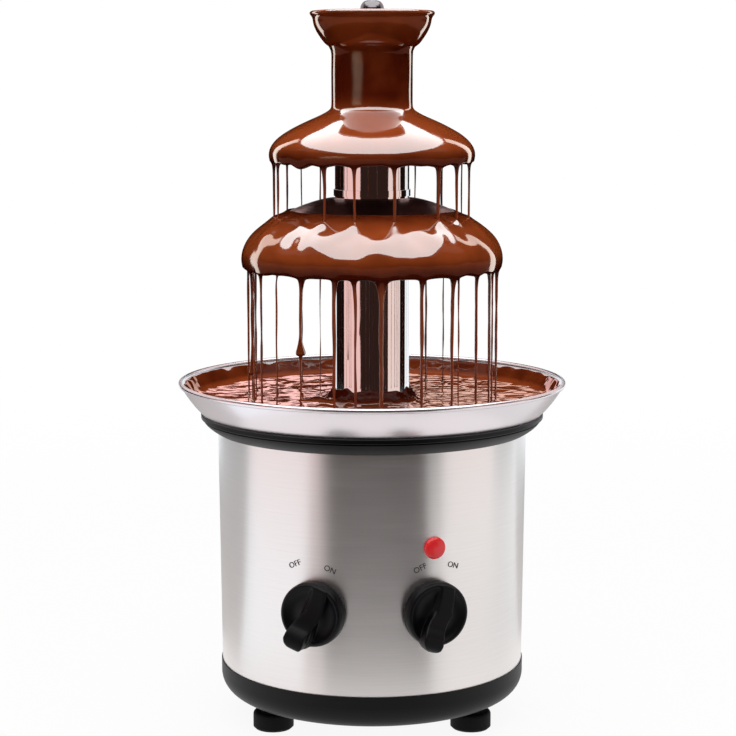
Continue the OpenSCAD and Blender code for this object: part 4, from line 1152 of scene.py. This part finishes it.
        # Long low sheets behind, that the pool mirrors
        facing_front = (math.radians(-90), 0, 0)
        for name, x, strength, tint in (
            ("pool_glow_left", -0.45, 2.3, blush),
            ("pool_glow_right", 0.45, 1.7, tan),
        ):
            self.panel(name, "RECTANGLE", (0.9, 0.08), (x, 0.75, 0.335), facing_front, strength, pool, tint)

    def sheet(self, name, size, place, radiance, pieces, tint):
        """An upright light that faces the middle from an angle, a radius and a height in mm"""
        turn = (math.radians(90), 0, math.radians(place[0]))
        self.panel(name, "RECTANGLE", size, spot(*place), turn, radiance, pieces, tint)

    def panel(self, name, shape, size, place, turn, radiance, pieces=None, tint=None):
        """A soft light of a size in metres; one for some pieces shows only in their gloss"""
        bpy.ops.object.light_add(type="AREA", location=place, rotation=turn)
        lamp = bpy.context.object
        lamp.name = name
        lamp.data.shape = shape
        lamp.data.size, lamp.data.size_y = size
        share = math.pi / 4 if shape == "ELLIPSE" else 1
        lamp.data.energy = radiance * math.pi * size[0] * size[1] * share
        lamp.visible_camera = False
        if pieces:
            lamp.data.color = tint
            lamp.visible_diffuse = False
            lamp.light_linking.receiver_collection = pieces
        else:
            lamp.visible_glossy = False

    def place_camera(self, scene):
        """A long lens a little above the rim, tipped down"""
        place, tip = (-0.0022, -1.1, 0.3465), 7.92
        bpy.ops.object.camera_add(location=place, rotation=(math.radians(90 - tip), 0, 0))
        camera = bpy.context.object
        camera.data.sensor_width = 36
        camera.data.lens = 99.15
        scene.camera = camera


class FOUNTAIN_PT_pieces(bpy.types.Panel):
    """Lists the pieces of the fountain"""

    bl_idname = "FOUNTAIN_PT_pieces"
    bl_label = "Chocolate Fountain"
    bl_space_type = "VIEW_3D"
    bl_region_type = "UI"
    bl_category = "Fountain"

    def draw(self, context):
        for group in (context.scene.fountain_sizes, context.scene.fountain_colours):
            for name in group.bl_rna.properties.keys():
                if name not in ("rna_type", "name"):
                    self.layout.prop(group, name)
        for operator in PIECES:
            self.layout.operator(operator.bl_idname)


PIECES = (
    FOUNTAIN_OT_finishes,
    FOUNTAIN_OT_upper_chocolate,
    FOUNTAIN_OT_lower_chocolate,
    FOUNTAIN_OT_pool,
    FOUNTAIN_OT_auger_chocolate,
    FOUNTAIN_OT_knobs,
    FOUNTAIN_OT_words,
    FOUNTAIN_OT_stage,
)
CLASSES = (FountainSizes, FountainColours) + PIECES + (FOUNTAIN_PT_pieces,)


def register():
    for cls in CLASSES:
        bpy.utils.register_class(cls)
    bpy.types.Scene.fountain_sizes = bpy.props.PointerProperty(type=FountainSizes)
    bpy.types.Scene.fountain_colours = bpy.props.PointerProperty(type=FountainColours)


def unregister():
    del bpy.types.Scene.fountain_sizes
    del bpy.types.Scene.fountain_colours
    for cls in reversed(CLASSES):
        bpy.utils.unregister_class(cls)


def main():
    register()
    bpy.ops.fountain.finishes()
    bpy.ops.fountain.upper_chocolate()
    bpy.ops.fountain.lower_chocolate()
    bpy.ops.fountain.pool()
    bpy.ops.fountain.auger_chocolate()
    bpy.ops.fountain.knobs()
    bpy.ops.fountain.words()
    bpy.ops.fountain.stage()


if __name__ == "__main__":
    main()
